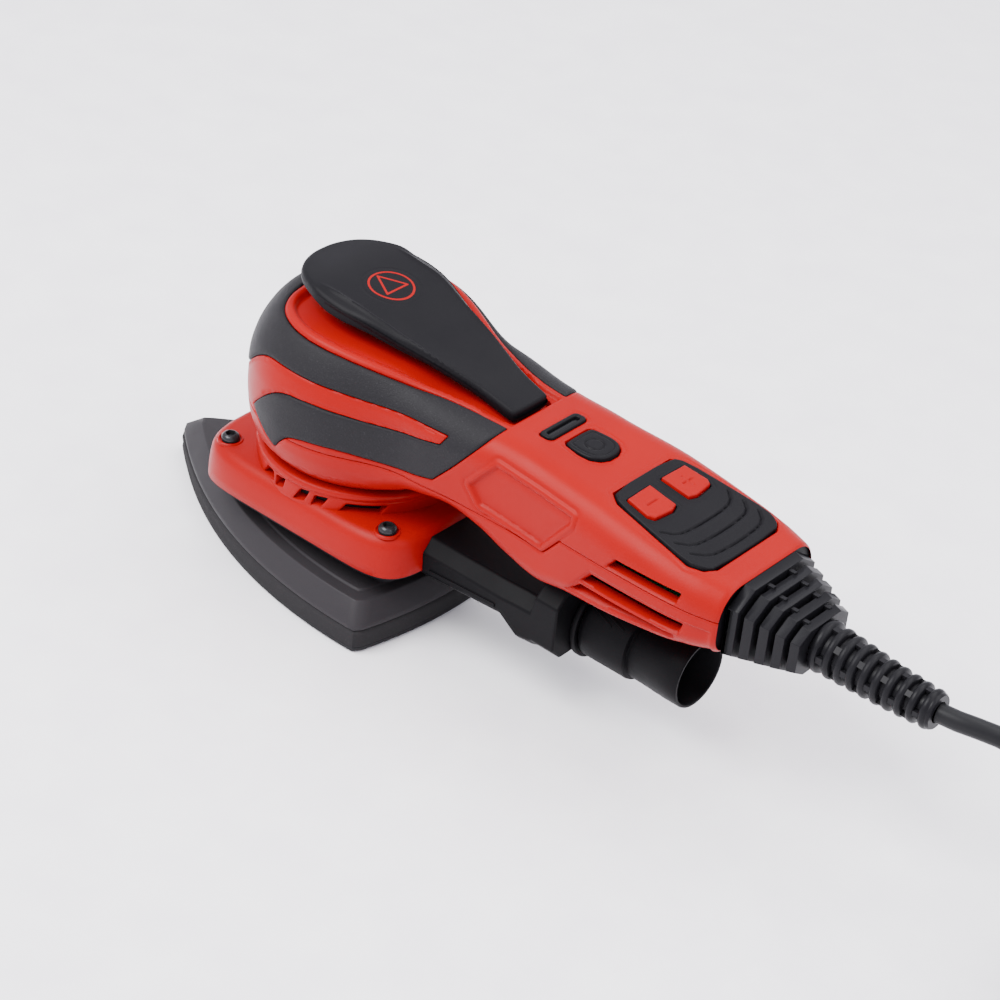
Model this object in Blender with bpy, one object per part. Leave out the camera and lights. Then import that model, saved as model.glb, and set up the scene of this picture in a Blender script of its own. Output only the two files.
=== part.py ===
"""Detail sander with a delta pad, modelled as separate solids in metres, +Z up.

The origin is on the motor axis in the plane of the pad's sole. +X runs towards
the pad's tip and +Y towards the tool's left side. Sizes below are millimetres.
"""
import math

import bpy
import bmesh
import numpy as np
from mathutils import Vector

MM = 0.001
GAP = 0.3
MERGE = 1e-7

# pad
PAD_WIDTH = 100.0
PAD_TIP_X = 99.3
PAD_REAR_X = -44.4
PAD_BULGE = 15.0
REAR_BULGE = 6.7
HOOK_TOP = 1.6
FOAM_TOP = 9.3
BACKING_TOP = 20.0
ORBIT_RADIUS = 1.5
DUST_HOLES = [(62, 0), (18, 31), (18, -31), (-18, 34), (-18, -34), (-38, 0)]

# skirt under the head
SKIRT_A, SKIRT_B, SKIRT_P = 52.5, 42.3, 6.0
SKIRT_BOTTOM, SKIRT_TOP, COLLAR_TOP = 27.5, 46.0, 54.0
COLLAR_OUTER, COLLAR_INNER = 40.0, 36.0
SCREW_X, SCREW_Y = 40.7, 32.0
LEG_SPOTS = [(38, 24), (38, -24), (-36, 26), (-36, -26)]

# housing
WALL = 2.4
BODY_REAR = -184.0
AXIS_Z = 80.0
HEAD_FLOOR = 54.3
SPLIT_LOW, SPLIT_HIGH = 72.0, 80.5

# lever
LEVER_PIVOT = (-71.0, 0.0, 96.0)

# control panel plane
PANEL_X, PANEL_Z, PANEL_SLOPE = -127.5, 100.3, 0.1505

# dust outlet
SPOUT_Z = 33.0
SPOUT_OUTER, SPOUT_INNER = 13.7, 12.2
SPOUT_END = -163.2

# cord
CORD_D = 7.3
CORD_EXIT_Z = 71.1
GUARD_END = -257.4
COIL_CENTRE = (-374.0, 6.0)
COIL_IN, COIL_OUT, COIL_HEIGHT = 26.4, 49.2, 29.4
CORD_ROUTE = [(-245.3, 0, 71.1), (-253, 0, 71.1), (-261, 0, 71.1), (-271, -3.2, 70.6),
              (-282, -9.4, 67.2), (-293, -16.5, 59.8), (-304, -24, 49.4), (-315, -31, 36.8),
              (-325, -36, 24.8), (-335, -38.6, 14.6), (-345.8, -39, 7.2)]
TAIL_ROUTE = [(-336.0, -13.3, 33.6), (-344, -20, 34.8), (-351.2, -23, 35.9), (-359, -24, 37.0),
              (-363.5, -24, 37.7), (-367.3, -24, 38.1)]
PLUG_TAIL = (-368.0, -24.0, 38.1)

RED = (0.76, 0.045, 0.038)
BLACK = (0.036, 0.035, 0.042)
RUBBER = (0.03, 0.03, 0.033)
GREY = (0.25, 0.25, 0.26)
STEEL = (0.62, 0.62, 0.63)
COPPER = (0.72, 0.36, 0.2)
GREEN = (0.03, 0.2, 0.08)


def clear_scene():
    for item in list(bpy.data.objects):
        bpy.data.objects.remove(item, do_unlink=True)


def curve(points):
    """Monotone cubic through (x, value) points, held constant past the ends."""
    points = sorted(points)
    x = np.array([p[0] for p in points], float)
    y = np.array([p[1] for p in points], float)
    h = np.diff(x)
    slope = np.diff(y) / h
    m = np.zeros(len(x))
    m[0], m[-1] = slope[0], slope[-1]
    for i in range(1, len(x) - 1):
        if slope[i - 1] * slope[i] > 0:
            w1, w2 = 2 * h[i] + h[i - 1], h[i] + 2 * h[i - 1]
            m[i] = (w1 + w2) / (w1 / slope[i - 1] + w2 / slope[i])

    def value(at):
        at = np.clip(np.asarray(at, float), x[0], x[-1])
        i = np.clip(np.searchsorted(x, at) - 1, 0, len(h) - 1)
        t = (at - x[i]) / h[i]
        return ((1 + 2 * t) * (1 - t) ** 2 * y[i] + t * (1 - t) ** 2 * h[i] * m[i]
                + t * t * (3 - 2 * t) * y[i + 1] + t * t * (t - 1) * h[i] * m[i + 1])
    return value


head_radius = curve([(40, 36), (54, 39.5), (58, 41.5), (62, 43), (68, 44.7), (78, 45.5),
                     (88, 45.1), (96, 43.3), (104.5, 39.2), (112, 33), (118, 27), (122, 20)])
handle_bottom = curve([(-184, 66), (-172, 63.5), (-155, 61.5), (-137, 59.5), (-120, 58.3),
                       (-106, 56), (-91, 59), (-78, 63.5), (-62, 66.5), (-45, 64), (-30, 60),
                       (0, 60)])
handle_top = curve([(-184, 91.5), (-174, 92.8), (-138, 98), (-127, 99.5), (-105, 101),
                    (-91, 102), (-75, 102.2), (-46, 104.5), (-20, 108), (0, 110), (45, 110.5)])
handle_half = curve([(-184, 27), (-172, 29.5), (-160, 30.4), (-143, 30.6), (-125, 30.2),
                     (-97, 28.7), (-86, 28.5), (-74, 28.9), (-50, 31), (0, 31.5)])
cavity_top = curve([(-184, 85.5), (-174, 86.5), (-127, 93.6), (-118, 95), (-112, 97), (-96, 97),
                    (-88, 95), (-82, 87.5), (-64, 87.5), (-58, 96), (-46, 99), (-20, 104),
                    (45, 105.5)])
lever_middle = curve([(-80, 101), (-75, 102), (-46, 110), (-30, 114), (-8, 119.6), (13, 121),
                      (36, 120)])
lever_half = curve([(-74.5, 8.2), (-73.4, 9.6), (-67, 9.9), (-60, 11), (-52, 12.8), (-45, 14.6),
                    (-35, 17), (-23, 20.6), (-12, 23.8), (-4, 25), (4, 24.9), (11, 24),
                    (18, 20.9), (22, 18.2), (25, 14.8), (27.5, 10.5), (29.3, 4.2)])


def body_field(x, y, z):
    """Distance-like field of the head bulb blended with the handle; negative inside."""
    head = (np.hypot(x, y) - head_radius(z)) * 0.9
    head = np.maximum(head, 44.0 - z)
    top, bottom, half = handle_top(x), handle_bottom(x), handle_half(x)
    mid, tall = (top + bottom) / 2, (top - bottom) / 2
    r = np.where(z > mid, 12.0, 8.0)
    qy, qz = np.abs(y) - half + r, np.abs(z - mid) - tall + r
    bar = (np.hypot(np.maximum(qy, 0), np.maximum(qz, 0))
           + np.minimum(np.maximum(qy, qz), 0) - r)
    bar = np.maximum(bar, x + 10.0)
    blend = np.clip(0.5 + 0.05 * (bar - head), 0, 1)
    both = bar * (1 - blend) + head * blend - 10.0 * blend * (1 - blend)
    return np.maximum(both, z - handle_top(x) - 1.5)


def inner_field(x, y, z):
    return np.maximum(body_field(x, y, z) + WALL, z - cavity_top(x))


def make_material(name, colour, rough, metal):
    mat = bpy.data.materials.new(name)
    mat.use_nodes = True
    shader = mat.node_tree.nodes["Principled BSDF"]
    shader.inputs["Base Color"].default_value = (*colour, 1.0)
    shader.inputs["Roughness"].default_value = rough
    shader.inputs["Metallic"].default_value = metal
    mat.diffuse_color = (*colour, 1.0)
    return mat


def solid(name, verts, faces, colour=GREY, rough=0.5, metal=0.0, pivot=(0, 0, 0)):
    """One object from points in millimetres, with its origin at pivot."""
    mesh = bpy.data.meshes.new(name)
    shift = Vector(pivot)
    mesh.from_pydata([tuple((Vector(v) - shift) * MM) for v in verts], [], faces)
    bm = bmesh.new()
    bm.from_mesh(mesh)
    bmesh.ops.remove_doubles(bm, verts=bm.verts, dist=1e-6)
    bmesh.ops.recalc_face_normals(bm, faces=bm.faces)
    bm.to_mesh(mesh)
    bm.free()
    obj = bpy.data.objects.new(name, mesh)
    obj.location = shift * MM
    bpy.context.scene.collection.objects.link(obj)
    mesh.materials.append(make_material(name, colour, rough, metal))
    return obj


def loft(rings, cap=True):
    """Points and faces of a skin over closed rings with equal point counts."""
    count = len(rings[0])
    verts = [tuple(p) for ring in rings for p in ring]
    faces = []
    for i in range(len(rings) - 1):
        for j in range(count):
            k = (j + 1) % count
            faces.append((i * count + j, i * count + k, (i + 1) * count + k, (i + 1) * count + j))
    if cap:
        faces.append(tuple(reversed(range(count))))
        faces.append(tuple(range((len(rings) - 1) * count, len(rings) * count)))
    return verts, faces


def closed_loft(rings):
    """A skin over rings whose last one joins the first, as on a turned ring."""
    verts, faces = loft(rings, cap=False)
    count, last = len(rings[0]), (len(rings) - 1) * len(rings[0])
    for j in range(count):
        k = (j + 1) % count
        faces.append((last + j, last + k, k, j))
    return verts, faces


def prism(outline, low, high, axis="z"):
    """Closed outline pushed along z, y or x; low and high may be functions of x."""
    def level(value, a):
        return value(a) if callable(value) else value
    if axis == "z":
        return loft([[(a, b, level(low, a)) for a, b in outline],
                     [(a, b, level(high, a)) for a, b in outline]])
    if axis == "y":
        return loft([[(a, low, b) for a, b in outline], [(a, high, b) for a, b in outline]])
    return loft([[(low, a, b) for a, b in outline], [(high, a, b) for a, b in outline]])


def circle(radius, sides, centre=(0.0, 0.0), phase=0.0):
    return [(centre[0] + radius * math.cos(phase + 2 * math.pi * i / sides),
             centre[1] + radius * math.sin(phase + 2 * math.pi * i / sides))
            for i in range(sides)]


def disc(radius, low, high, centre=(0.0, 0.0), sides=20, axis="z"):
    return prism(circle(radius, sides, centre), low, high, axis)


def box(x0, x1, y0, y1, z0, z1):
    return prism([(x0, y0), (x1, y0), (x1, y1), (x0, y1)], z0, z1)


def turned(profile, sides, centre=(0.0, 0.0), axis="z"):
    """A closed (radius, height) profile turned about an axis; all radii above zero."""
    rings = []
    for i in range(sides):
        a = 2 * math.pi * i / sides
        c, s = math.cos(a), math.sin(a)
        if axis == "z":
            rings.append([(centre[0] + r * c, centre[1] + r * s, h) for r, h in profile])
        else:
            rings.append([(h, centre[0] + r * c, centre[1] + r * s) for r, h in profile])
    return closed_loft(rings)


def super_outline(a, b, power, sides, centre=(0.0, 0.0)):
    out = []
    for i in range(sides):
        t = 2 * math.pi * (i + 0.5) / sides
        c, s = math.cos(t), math.sin(t)
        r = (abs(c) ** power + abs(s) ** power) ** (-1.0 / power)
        out.append((centre[0] + a * r * c, centre[1] + b * r * s))
    return out


def grown(outline, amount):
    """Offset a counter-clockwise outline outwards by an amount."""
    pts = [Vector(p) for p in outline]
    out = []
    for i, p in enumerate(pts):
        e1 = (p - pts[i - 1]).normalized()
        e2 = (pts[(i + 1) % len(pts)] - p).normalized()
        n1, n2 = Vector((e1.y, -e1.x)), Vector((e2.y, -e2.x))
        n = n1 + n2
        n = n.normalized() / max(0.35, n.normalized().dot(n1))
        out.append(tuple(p + n * amount))
    return out


def boolean(target, cutter_parts, operation="DIFFERENCE"):
    """Cut or join the target with throwaway solids and keep the result as its mesh."""
    for verts, faces in cutter_parts:
        cutter = solid("cutter", verts, faces)
        mod = target.modifiers.new("cut", "BOOLEAN")
        mod.operation, mod.solver, mod.object = operation, "EXACT", cutter
        bpy.context.view_layer.update()
        graph = bpy.context.evaluated_depsgraph_get()
        fresh = bpy.data.meshes.new_from_object(target.evaluated_get(graph))
        target.modifiers.clear()
        kept = target.data.materials[0]
        target.data = fresh
        target.data.materials.clear()
        target.data.materials.append(kept)
        for face in target.data.polygons:
            face.material_index = 0
        bpy.data.objects.remove(cutter, do_unlink=True)
    bm = bmesh.new()
    bm.from_mesh(target.data)
    bmesh.ops.remove_doubles(bm, verts=bm.verts, dist=MERGE)
    bm.to_mesh(target.data)
    bm.free()
    return target


def skin(field, stations, sides, front_limit, rear_limit):
    """Closed surface of a field, read along rays in planes across the X axis."""
    angles = [2 * math.pi * (j + 0.5) / sides for j in range(sides)]
    dy, dz = np.cos(angles), np.sin(angles)

    def edge(limit, start):
        low, high = start, limit
        for _ in range(40):
            mid = (low + high) / 2
            if field(np.float64(mid), np.float64(0), np.float64(AXIS_Z)) < 0:
                low = mid
            else:
                high = mid
        return low

    front = edge(front_limit, 0.0)
    rings = []
    for s in stations:
        x = rear_limit + s if s < 150 else front - (front + 34.0) * (s - 150) ** 2
        xs = np.full(sides, x)
        near, far = np.zeros(sides), np.full(sides, 90.0)
        for _ in range(36):
            mid = (near + far) / 2
            inside = field(xs, mid * dy, AXIS_Z + mid * dz) < 0
            near, far = np.where(inside, mid, near), np.where(inside, far, mid)
        rings.append([(x, near[j] * dy[j], AXIS_Z + near[j] * dz[j]) for j in range(sides)])
    verts, faces = loft(rings, cap=False)
    last = (len(rings) - 1) * sides
    verts.append((front, 0.0, AXIS_Z))
    for j in range(sides):
        faces.append((last + j, last + (j + 1) % sides, len(verts) - 1))
    faces.append(tuple(reversed(range(sides))))
    return verts, [t for f in faces for t in fan_triangles(f)]


def fan_triangles(face):
    return [(face[0], face[k], face[k + 1]) for k in range(1, len(face) - 1)]


def head_stations(count):
    """Station codes that crowd towards the rounded front of the head."""
    return [150 + 1 - i / count for i in range(count)]


def outer_skin(offset=0.0):
    spots = [0, 1.2, 4, 12, 26, 44, 57, 66, 74, 79, 87, 96, 105, 113, 122, 130, 137, 144]
    return skin(lambda x, y, z: body_field(x, y, z) - offset, spots + head_stations(9), 34,
                60.0, BODY_REAR)


def inner_skin():
    spots = [0, 8, 30, 57, 66, 72, 82, 90, 99, 102, 116, 121, 127, 140]
    return skin(inner_field, spots + head_stations(6), 20, 60.0, BODY_REAR + WALL)


def pad_outline(inset, steps=7):
    corners = [Vector((PAD_TIP_X, 0)), Vector((PAD_REAR_X, PAD_WIDTH / 2)),
               Vector((PAD_REAR_X, -PAD_WIDTH / 2))]
    bulges = [PAD_BULGE, REAR_BULGE, PAD_BULGE]
    out = []
    for i in range(3):
        a, b = corners[i], corners[(i + 1) % 3]
        side = b - a
        normal = Vector((side.y, -side.x)).normalized()
        for k in range(steps + 1):
            t = 0.03 + 0.94 * k / steps
            out.append(tuple(a + side * t + normal * 4 * bulges[i] * t * (1 - t)))
        out.append(tuple(b - side * 0.008 + normal * bulges[i] * 0.02))
    return grown(out, -inset)


def panel_level(offset):
    return lambda x: PANEL_Z + PANEL_SLOPE * (x - PANEL_X) + offset


def build_pad():
    holes = [disc(4.0, -1, 22, spot, 12) for spot in DUST_HOLES]
    hook = solid("hook_layer", *prism(pad_outline(0.4), 0, HOOK_TOP), BLACK, 0.95, 0,
                 (ORBIT_RADIUS, 0, 0))
    foam = solid("pad_foam", *prism(pad_outline(0.0), HOOK_TOP + GAP, FOAM_TOP), BLACK, 0.9, 0,
                 (ORBIT_RADIUS, 0, 0))
    low, mid, top = pad_outline(0.5), pad_outline(0.9), pad_outline(2.4)
    rings = [[(x, y, z) for x, y in ring] for ring, z in
             ((low, FOAM_TOP + GAP), (mid, 17.5), (top, BACKING_TOP))]
    backing = solid("pad_backing", *loft(rings), BLACK, 0.55, 0, (ORBIT_RADIUS, 0, 0))
    boolean(backing, [disc(12.0, 18, 27, (ORBIT_RADIUS, 0), 24)], "UNION")
    tip = prism([(84, 21.0), (103, 21.0), (103, 9.0), (99.5, 10.5)], -30, 30, "y")
    boolean(backing, [tip, disc(8.3, 21, 28, (ORBIT_RADIUS, 0), 24)])
    for piece in (hook, foam, backing):
        boolean(piece, holes)
    profile = [(4.3, 21.3), (8.0, 21.3), (8.0, 26.8), (4.3, 26.8)]
    solid("pad_bearing", *turned(profile, 20, (ORBIT_RADIUS, 0)), STEEL, 0.25, 1.0,
          (ORBIT_RADIUS, 0, 0))


def build_rotor():
    sides = 16
    spec = [(ORBIT_RADIUS, 4.0, 21.6), (ORBIT_RADIUS, 4.0, 28.0), (0, 8.5, 28.0), (0, 8.5, 30.0),
            (0, 4.0, 30.0), (0, 4.0, 96.0), (0, 3.0, 96.0), (0, 3.0, 102.0)]
    rings = [[(x, y, z) for x, y in circle(r, sides, (cx, 0))] for cx, r, z in spec]
    solid("motor_shaft", *loft(rings), STEEL, 0.25, 1.0)
    sector = [(22 * math.cos(a), 22 * math.sin(a))
              for a in np.radians(np.linspace(105, 255, 11))]
    sector += [(9 * math.cos(a), 9 * math.sin(a)) for a in np.radians(np.linspace(285, 435, 9))]
    weight = solid("counterweight", *prism(sector, 30.3, 35.6), STEEL, 0.4, 1.0)
    boolean(weight, [disc(4.3, 29, 37, sides=sides)])
    blades = 12
    teeth = []
    for i in range(blades):
        a = 2 * math.pi * i / blades
        for angle, radius in ((a - 0.14, 11), (a + 0.14 - 0.1, 28), (a + 0.14, 28), (a + 0.2, 11)):
            teeth.append((radius * math.cos(angle), radius * math.sin(angle)))
    fan = solid("cooling_fan", *prism(teeth, 36.0, 44.0), GREY, 0.5)
    boolean(fan, [disc(4.3, 35, 45, sides=sides)])
    solid("rotor_magnets", *turned([(4.3, 63), (15, 63), (15, 87), (4.3, 87)], 24), GREY, 0.35, 1)


def build_motor():
    solid("motor_stator", *turned([(15.8, 64), (30, 64), (30, 86), (15.8, 86)], 28), GREY, 0.4, 1)
    solid("winding_lower", *turned([(17.5, 58), (27.5, 58), (27.5, 63.7), (17.5, 63.7)], 24),
          COPPER, 0.35, 1.0)
    solid("winding_upper", *turned([(17.5, 86.3), (27.5, 86.3), (27.5, 92), (17.5, 92)], 24),
          COPPER, 0.35, 1.0)
    solid("motor_base", *turned([(11.3, 47), (35.6, 47), (35.6, 53), (11.3, 53)], 28),
          STEEL, 0.45, 1.0)
    solid("lower_bearing", *turned([(4.3, 47.5), (11, 47.5), (11, 52.5), (4.3, 52.5)], 20),
          STEEL, 0.25, 1.0)
    solid("bearing_cap", *turned([(8.3, 94), (13, 94), (13, 100.5), (8.3, 100.5)], 20), GREY, 0.5)
    solid("upper_bearing", *turned([(4.3, 94.5), (8, 94.5), (8, 95.7), (8, 100), (3.3, 100),
                                    (3.3, 96.4), (4.3, 96.4)], 20), STEEL, 0.25, 1.0)


def build_skirt():
    spec = [(SKIRT_A + 1.0, SKIRT_B + 0.9, SKIRT_BOTTOM), (SKIRT_A + 0.5, SKIRT_B + 0.4, 40.0),
            (SKIRT_A - 0.6, SKIRT_B - 0.8, 44.4), (SKIRT_A - 2.6, SKIRT_B - 2.8, SKIRT_TOP)]
    rings = [[(x, y, z) for x, y in super_outline(a, b, SKIRT_P, 40)] for a, b, z in spec]
    skirt = solid("skirt", *loft(rings), RED, 0.42)
    boolean(skirt, [prism(super_outline(SKIRT_A - 2.4, SKIRT_B - 2.5, SKIRT_P, 40), 26, 42),
                    disc(31, 41, 47, sides=36)])
    collar = solid("collar", *turned([(COLLAR_INNER, SKIRT_TOP - 1), (COLLAR_OUTER + 1.2, SKIRT_TOP - 1),
                                      (COLLAR_OUTER, COLLAR_TOP), (COLLAR_INNER, COLLAR_TOP)], 36))
    mesh = collar.data
    points = [tuple(v.co / MM) for v in mesh.vertices]
    boolean(skirt, [(points, [tuple(p.vertices) for p in mesh.polygons])], "UNION")
    bpy.data.objects.remove(collar, do_unlink=True)
    windows = []
    for side in (1, -1):
        for shape in ([(10, 46.6), (15, 46.6), (12.4, 49.4), (9.2, 49.4)],
                      [(4, 46.6), (8.4, 46.6), (7.6, 49.8), (3.4, 49.8)],
                      [(-8.4, 46.6), (-3, 46.6), (-5.2, 50), (-9, 50)],
                      [(-14.8, 46.6), (-10.4, 46.6), (-11.2, 49.6), (-15.6, 49.6)],
                      [(-30.4, 46.6), (-20.6, 46.6), (-22.8, 48.8), (-32.2, 48.8)]):
            windows.append(prism(shape, 19 * side, 45 * side, "y"))
    holes = [disc(1.9, 40, 48, (sx * SCREW_X, sy * SCREW_Y), 10) for sx in (1, -1) for sy in (1, -1)]
    boolean(skirt, windows + holes + [box(-56, -47, -17, 17, 31, 40.5)])
    number = 1
    for sx in (1, -1):
        for sy in (1, -1):
            spec = [(1.6, 37), (1.6, 46.3), (3.5, 46.3), (3.5, 47.3), (2.4, 48.7)]
            rings = [[(x, y, z) for x, y in circle(r, 12, (sx * SCREW_X, sy * SCREW_Y))]
                     for r, z in spec]
            solid("skirt_screw_%d" % number, *loft(rings), BLACK, 0.3, 0.9)
            number += 1
    outer, inner = super_outline(52.3, 42.0, 6, 32), super_outline(49.6, 39.3, 6, 32)
    lip = solid("skirt_seal", *prism(outer, 24.3, SKIRT_BOTTOM - GAP), RUBBER, 0.8)
    boolean(lip, [prism(inner, 20, 30)])
    for i, spot in enumerate(LEG_SPOTS):
        spec = [(5.2, 20.8), (5.2, 23.5), (3.4, 27), (3.4, 35), (5.2, 39), (5.2, 41.7)]
        rings = [[(x, y, z) for x, y in circle(r, 12, spot)] for r, z in spec]
        solid("rubber_leg_%d" % (i + 1), *loft(rings), RUBBER, 0.7)


def hex_recess(side):
    outline = [(-74.6, 82.3), (-84.9, 94.5), (-120.4, 92.2), (-120.4, 89.9), (-108.6, 74.3),
               (-79.6, 76.3)]
    return prism(outline, side * 27.6, side * 40, "y")


def lever_rings(grow, floor_drop, lift):
    """Cross rings of the lever, or of the pocket that clears it."""
    rings = []
    for x in (-74.5, -73.4, -66, -52, -40, -23, -12, -4, 4, 11, 18, 22, 25.5, 27.8, 29.3):
        mid, half = float(lever_middle(x)), float(lever_half(x)) + grow
        low = mid - 2.8 - floor_drop - (0.05 * max(0.0, x + 71.0) if floor_drop else 0.0)
        high = mid + 2.8 + lift
        e = 0.0 if floor_drop else 1.4
        shift = 2 * grow if x > 25 else (-grow if x < -73 else 0.0)
        rings.append([(x + shift, -half + e, low), (x + shift, half - e, low),
                      (x + shift, half, low + e + 0.2), (x + shift, half, high - e - 0.2),
                      (x + shift, half - e, high), (x + shift, -half + e, high),
                      (x + shift, -half, high - e - 0.2), (x + shift, -half, low + e + 0.2)])
    return rings


def build_lever():
    lever = solid("paddle_lever", *loft(lever_rings(0, 0, 0)), BLACK, 0.5, 0, LEVER_PIVOT)
    px, _, pz = LEVER_PIVOT
    boolean(lever, [prism([(px - 3.5, 93), (px + 3.5, 93), (px + 3.5, 102.5), (px - 3.5, 101.0)],
                          -4.5, 4.5, "y")], "UNION")
    boolean(lever, [prism(circle(1.8, 12, (px, pz)), -6, 6, "y")])
    solid("lever_pin", *prism(circle(1.5, 12, (px, pz)), -10, 10, "y"), STEEL, 0.3, 1.0)


def lever_pocket():
    px, _, pz = LEVER_PIVOT
    pin = prism(circle(1.8, 12, (px, pz)), -10.3, 10.3, "y")
    lug = box(px - 4.5, px + 4.5, -5.2, 5.2, 91.5, 104)
    return [loft(lever_rings(0.8, 0.6, 12)), lug, pin]


def rounded(x0, x1, half, r, sides=4):
    """Rounded rectangle in plan, centred on y = 0."""
    out = []
    for cx, cy, start in ((x1 - r, half - r, 0), (x0 + r, half - r, 90), (x0 + r, r - half, 180),
                          (x1 - r, r - half, 270)):
        for k in range(sides + 1):
            a = math.radians(start + 90 * k / sides)
            out.append((cx + r * math.cos(a), cy + r * math.sin(a)))
    return out


PANEL_HALF = [(-127.2, 15.8), (-132, 19.2), (-150, 21.4), (-166, 23.0), (-171.4, 21.0), (-174, 17.0)]
PANEL_OUTLINE = PANEL_HALF + [(x, -y) for x, y in reversed(PANEL_HALF)]
POWER_HALF = [(-97.4, 6.2), (-98.8, 7.6), (-105, 8.3), (-109.6, 7.8), (-112.6, 5.4), (-114, 2.2)]
POWER_OUTLINE = POWER_HALF + [(x, -y) for x, y in reversed(POWER_HALF)]
KEY_OUTLINE = [(-133.0, 3.3), (-133.3, 15.9), (-143.2, 16.9), (-145.4, 15.6), (-146.3, 7.0),
               (-145.2, 3.6)]


def button_outline(side):
    if side > 0:
        return KEY_OUTLINE
    return [(x, -y) for x, y in reversed(KEY_OUTLINE)]


def build_housing():
    upper_zone = [(60, SPLIT_LOW + 0.15), (60, 130), (-200, 130), (-200, SPLIT_HIGH + 0.15),
                  (-117.1, SPLIT_HIGH + 0.15), (-110.1, SPLIT_LOW + 0.15)]
    lower_zone = [(60, SPLIT_LOW - 0.15), (-109.9, SPLIT_LOW - 0.15),
                  (-116.9, SPLIT_HIGH - 0.15), (-200, SPLIT_HIGH - 0.15), (-200, HEAD_FLOOR),
                  (60, HEAD_FLOOR)]
    neck = disc(8.3, -190, -175, (0, 76), 16, "x")
    recesses = [hex_recess(1), hex_recess(-1)]

    upper = solid("housing_upper", *outer_skin(), RED, 0.4)
    boolean(upper, [prism(upper_zone, -60, 60, "y")], "INTERSECT")
    boolean(upper, [inner_skin()] + grip_zone_cutters() + recesses + lever_pocket())
    slots = [prism([(-170, 83), (-140, 83), (-142, 85.4), (-171, 85.4)], s * 24, s * 36, "y")
             for s in (1, -1)]
    boolean(upper, slots + [neck, prism(grown(PANEL_OUTLINE, GAP), panel_level(-3.3), 112),
                            prism(rounded(-147.4, -131.8, 17.6, 2, 2), 80, 112),
                            prism(grown(POWER_OUTLINE, GAP), 88, 112),
                            prism(grown(rounded(-93.7, -87.7, 10.5, 2.2, 3), GAP), 99.2, 112)])

    lower = solid("housing_lower", *outer_skin(), RED, 0.4)
    boolean(lower, [prism(lower_zone, -60, 60, "y")], "INTERSECT")
    boolean(lower, [inner_skin()] + recesses + grip_zone_cutters())
    slots = []
    for s in (1, -1):
        slots.append(prism([(-172, 71), (-130, 71), (-132, 73.4), (-173, 73.4)], s * 24, s * 36, "y"))
        slots.append(prism([(-169, 65), (-126, 65), (-128, 67.4), (-170, 67.4)], s * 24, s * 36, "y"))
    screws = [disc(3.2, 50, 70, (x, y), 12) for x, y in CASE_SCREWS]
    boolean(lower, slots + [neck] + screws)
    for i, (x, y) in enumerate(CASE_SCREWS):
        base = float(handle_bottom(x)) + 0.8
        solid("case_screw_%d" % (i + 1), *disc(2.9, base, base + 9, (x, y), 12), BLACK, 0.35, 0.9)


CASE_SCREWS = [(-128, 16), (-128, -16), (-172, 14), (-172, -14)]

STRIPE_TOP = [(36, 82), (31, 86.5), (24, 93.5), (16, 98.3), (6, 99.2), (-15, 98.6), (-33, 96.8),
              (-50, 97.2), (-59, 96.2)]
STRIPE_LOW = [(-59, 92.6), (-47, 90.2), (-34, 88.9), (-17, 90.6), (-7, 91.2), (4.7, 90.2),
              (14.7, 82.6), (21.3, 75.3)]
GRIP_FOOT = [(21.3, 75.3), (13, 68.5), (6.6, 64.5), (2.9, 69.6), (-2.4, 74.2), (-18.4, 75.6),
             (-35.4, 73.6), (-48.2, 74.7), (-58.4, 76.9)]
GRIP_REAR = [(-58.4, 76.9), (-67, 86.4), (-75.3, 97), (-79.5, 104)]
CROWN = [(28.2, 0), (27.6, 7), (26.3, 12), (24.9, 21), (21.2, 28), (13, 33), (4.7, 35.3),
         (-5.1, 35.8), (-16.3, 33.4), (-26.4, 29.8), (-40, 24), (-57.6, 18.3), (-72, 16.2),
         (-90, 15.7)]


def grip_zone_cutters(margin=GAP, depth=1.6, proud=3.0):
    """Shell-shaped cutter bodies that leave a seat for the grip with a margin."""
    work = grip_body(margin, -depth - GAP, proud)
    mesh = work.data
    verts = [tuple(v.co / MM) for v in mesh.vertices]
    faces = [tuple(p.vertices) for p in mesh.polygons]
    bpy.data.objects.remove(work, do_unlink=True)
    return [(verts, faces)]


def grip_body(margin, inner_offset, outer_offset):
    """The grip's skin between two offsets of the body, grown sideways by margin."""
    outline = GRIP_FOOT + GRIP_REAR[1:] + [(-79.5, 128), (60, 128), (60, 82)] + STRIPE_TOP
    outline = list(reversed(outline + STRIPE_LOW[:-1]))
    grip = solid("grip_cover", *outer_skin(outer_offset), BLACK, 0.7)
    boolean(grip, [prism(grown(outline, margin), -60, 60, "y")], "INTERSECT")
    crown = [(x, y) for x, y in CROWN] + [(x, -y) for x, y in reversed(CROWN) if y > 0]
    boolean(grip, [prism(grown(crown, -margin), 70, 135), outer_skin(inner_offset)])
    return grip


def build_controls():
    panel = solid("control_panel", *prism(PANEL_OUTLINE, panel_level(-3), panel_level(0)), BLACK, 0.5)
    boolean(panel, [prism(grown(button_outline(s), GAP), 85, 110) for s in (1, -1)])
    for name, side in (("plus_button", -1), ("minus_button", 1)):
        centre = (-138.0, side * 9.6, float(panel_level(0)(-138.0)))
        solid(name, *prism(button_outline(side), panel_level(-7), panel_level(1.1)), RED, 0.4, 0,
              centre)
    solid("power_button", *prism(POWER_OUTLINE, 94.0, 102.0), BLACK, 0.45, 0, (-104, 0, 102))
    frame = solid("lamp_frame", *prism(rounded(-93.7, -87.7, 10.5, 2.2, 3), 99.5, 102.8), BLACK, 0.5)
    slot = rounded(-92.1, -89.3, 8.6, 1.3, 3)
    boolean(frame, [prism(slot, 101, 104)])
    solid("lamp_lens", *prism(grown(slot, -GAP), 101.3, 102.6), (0.5, 0.5, 0.52), 0.2)


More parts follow.
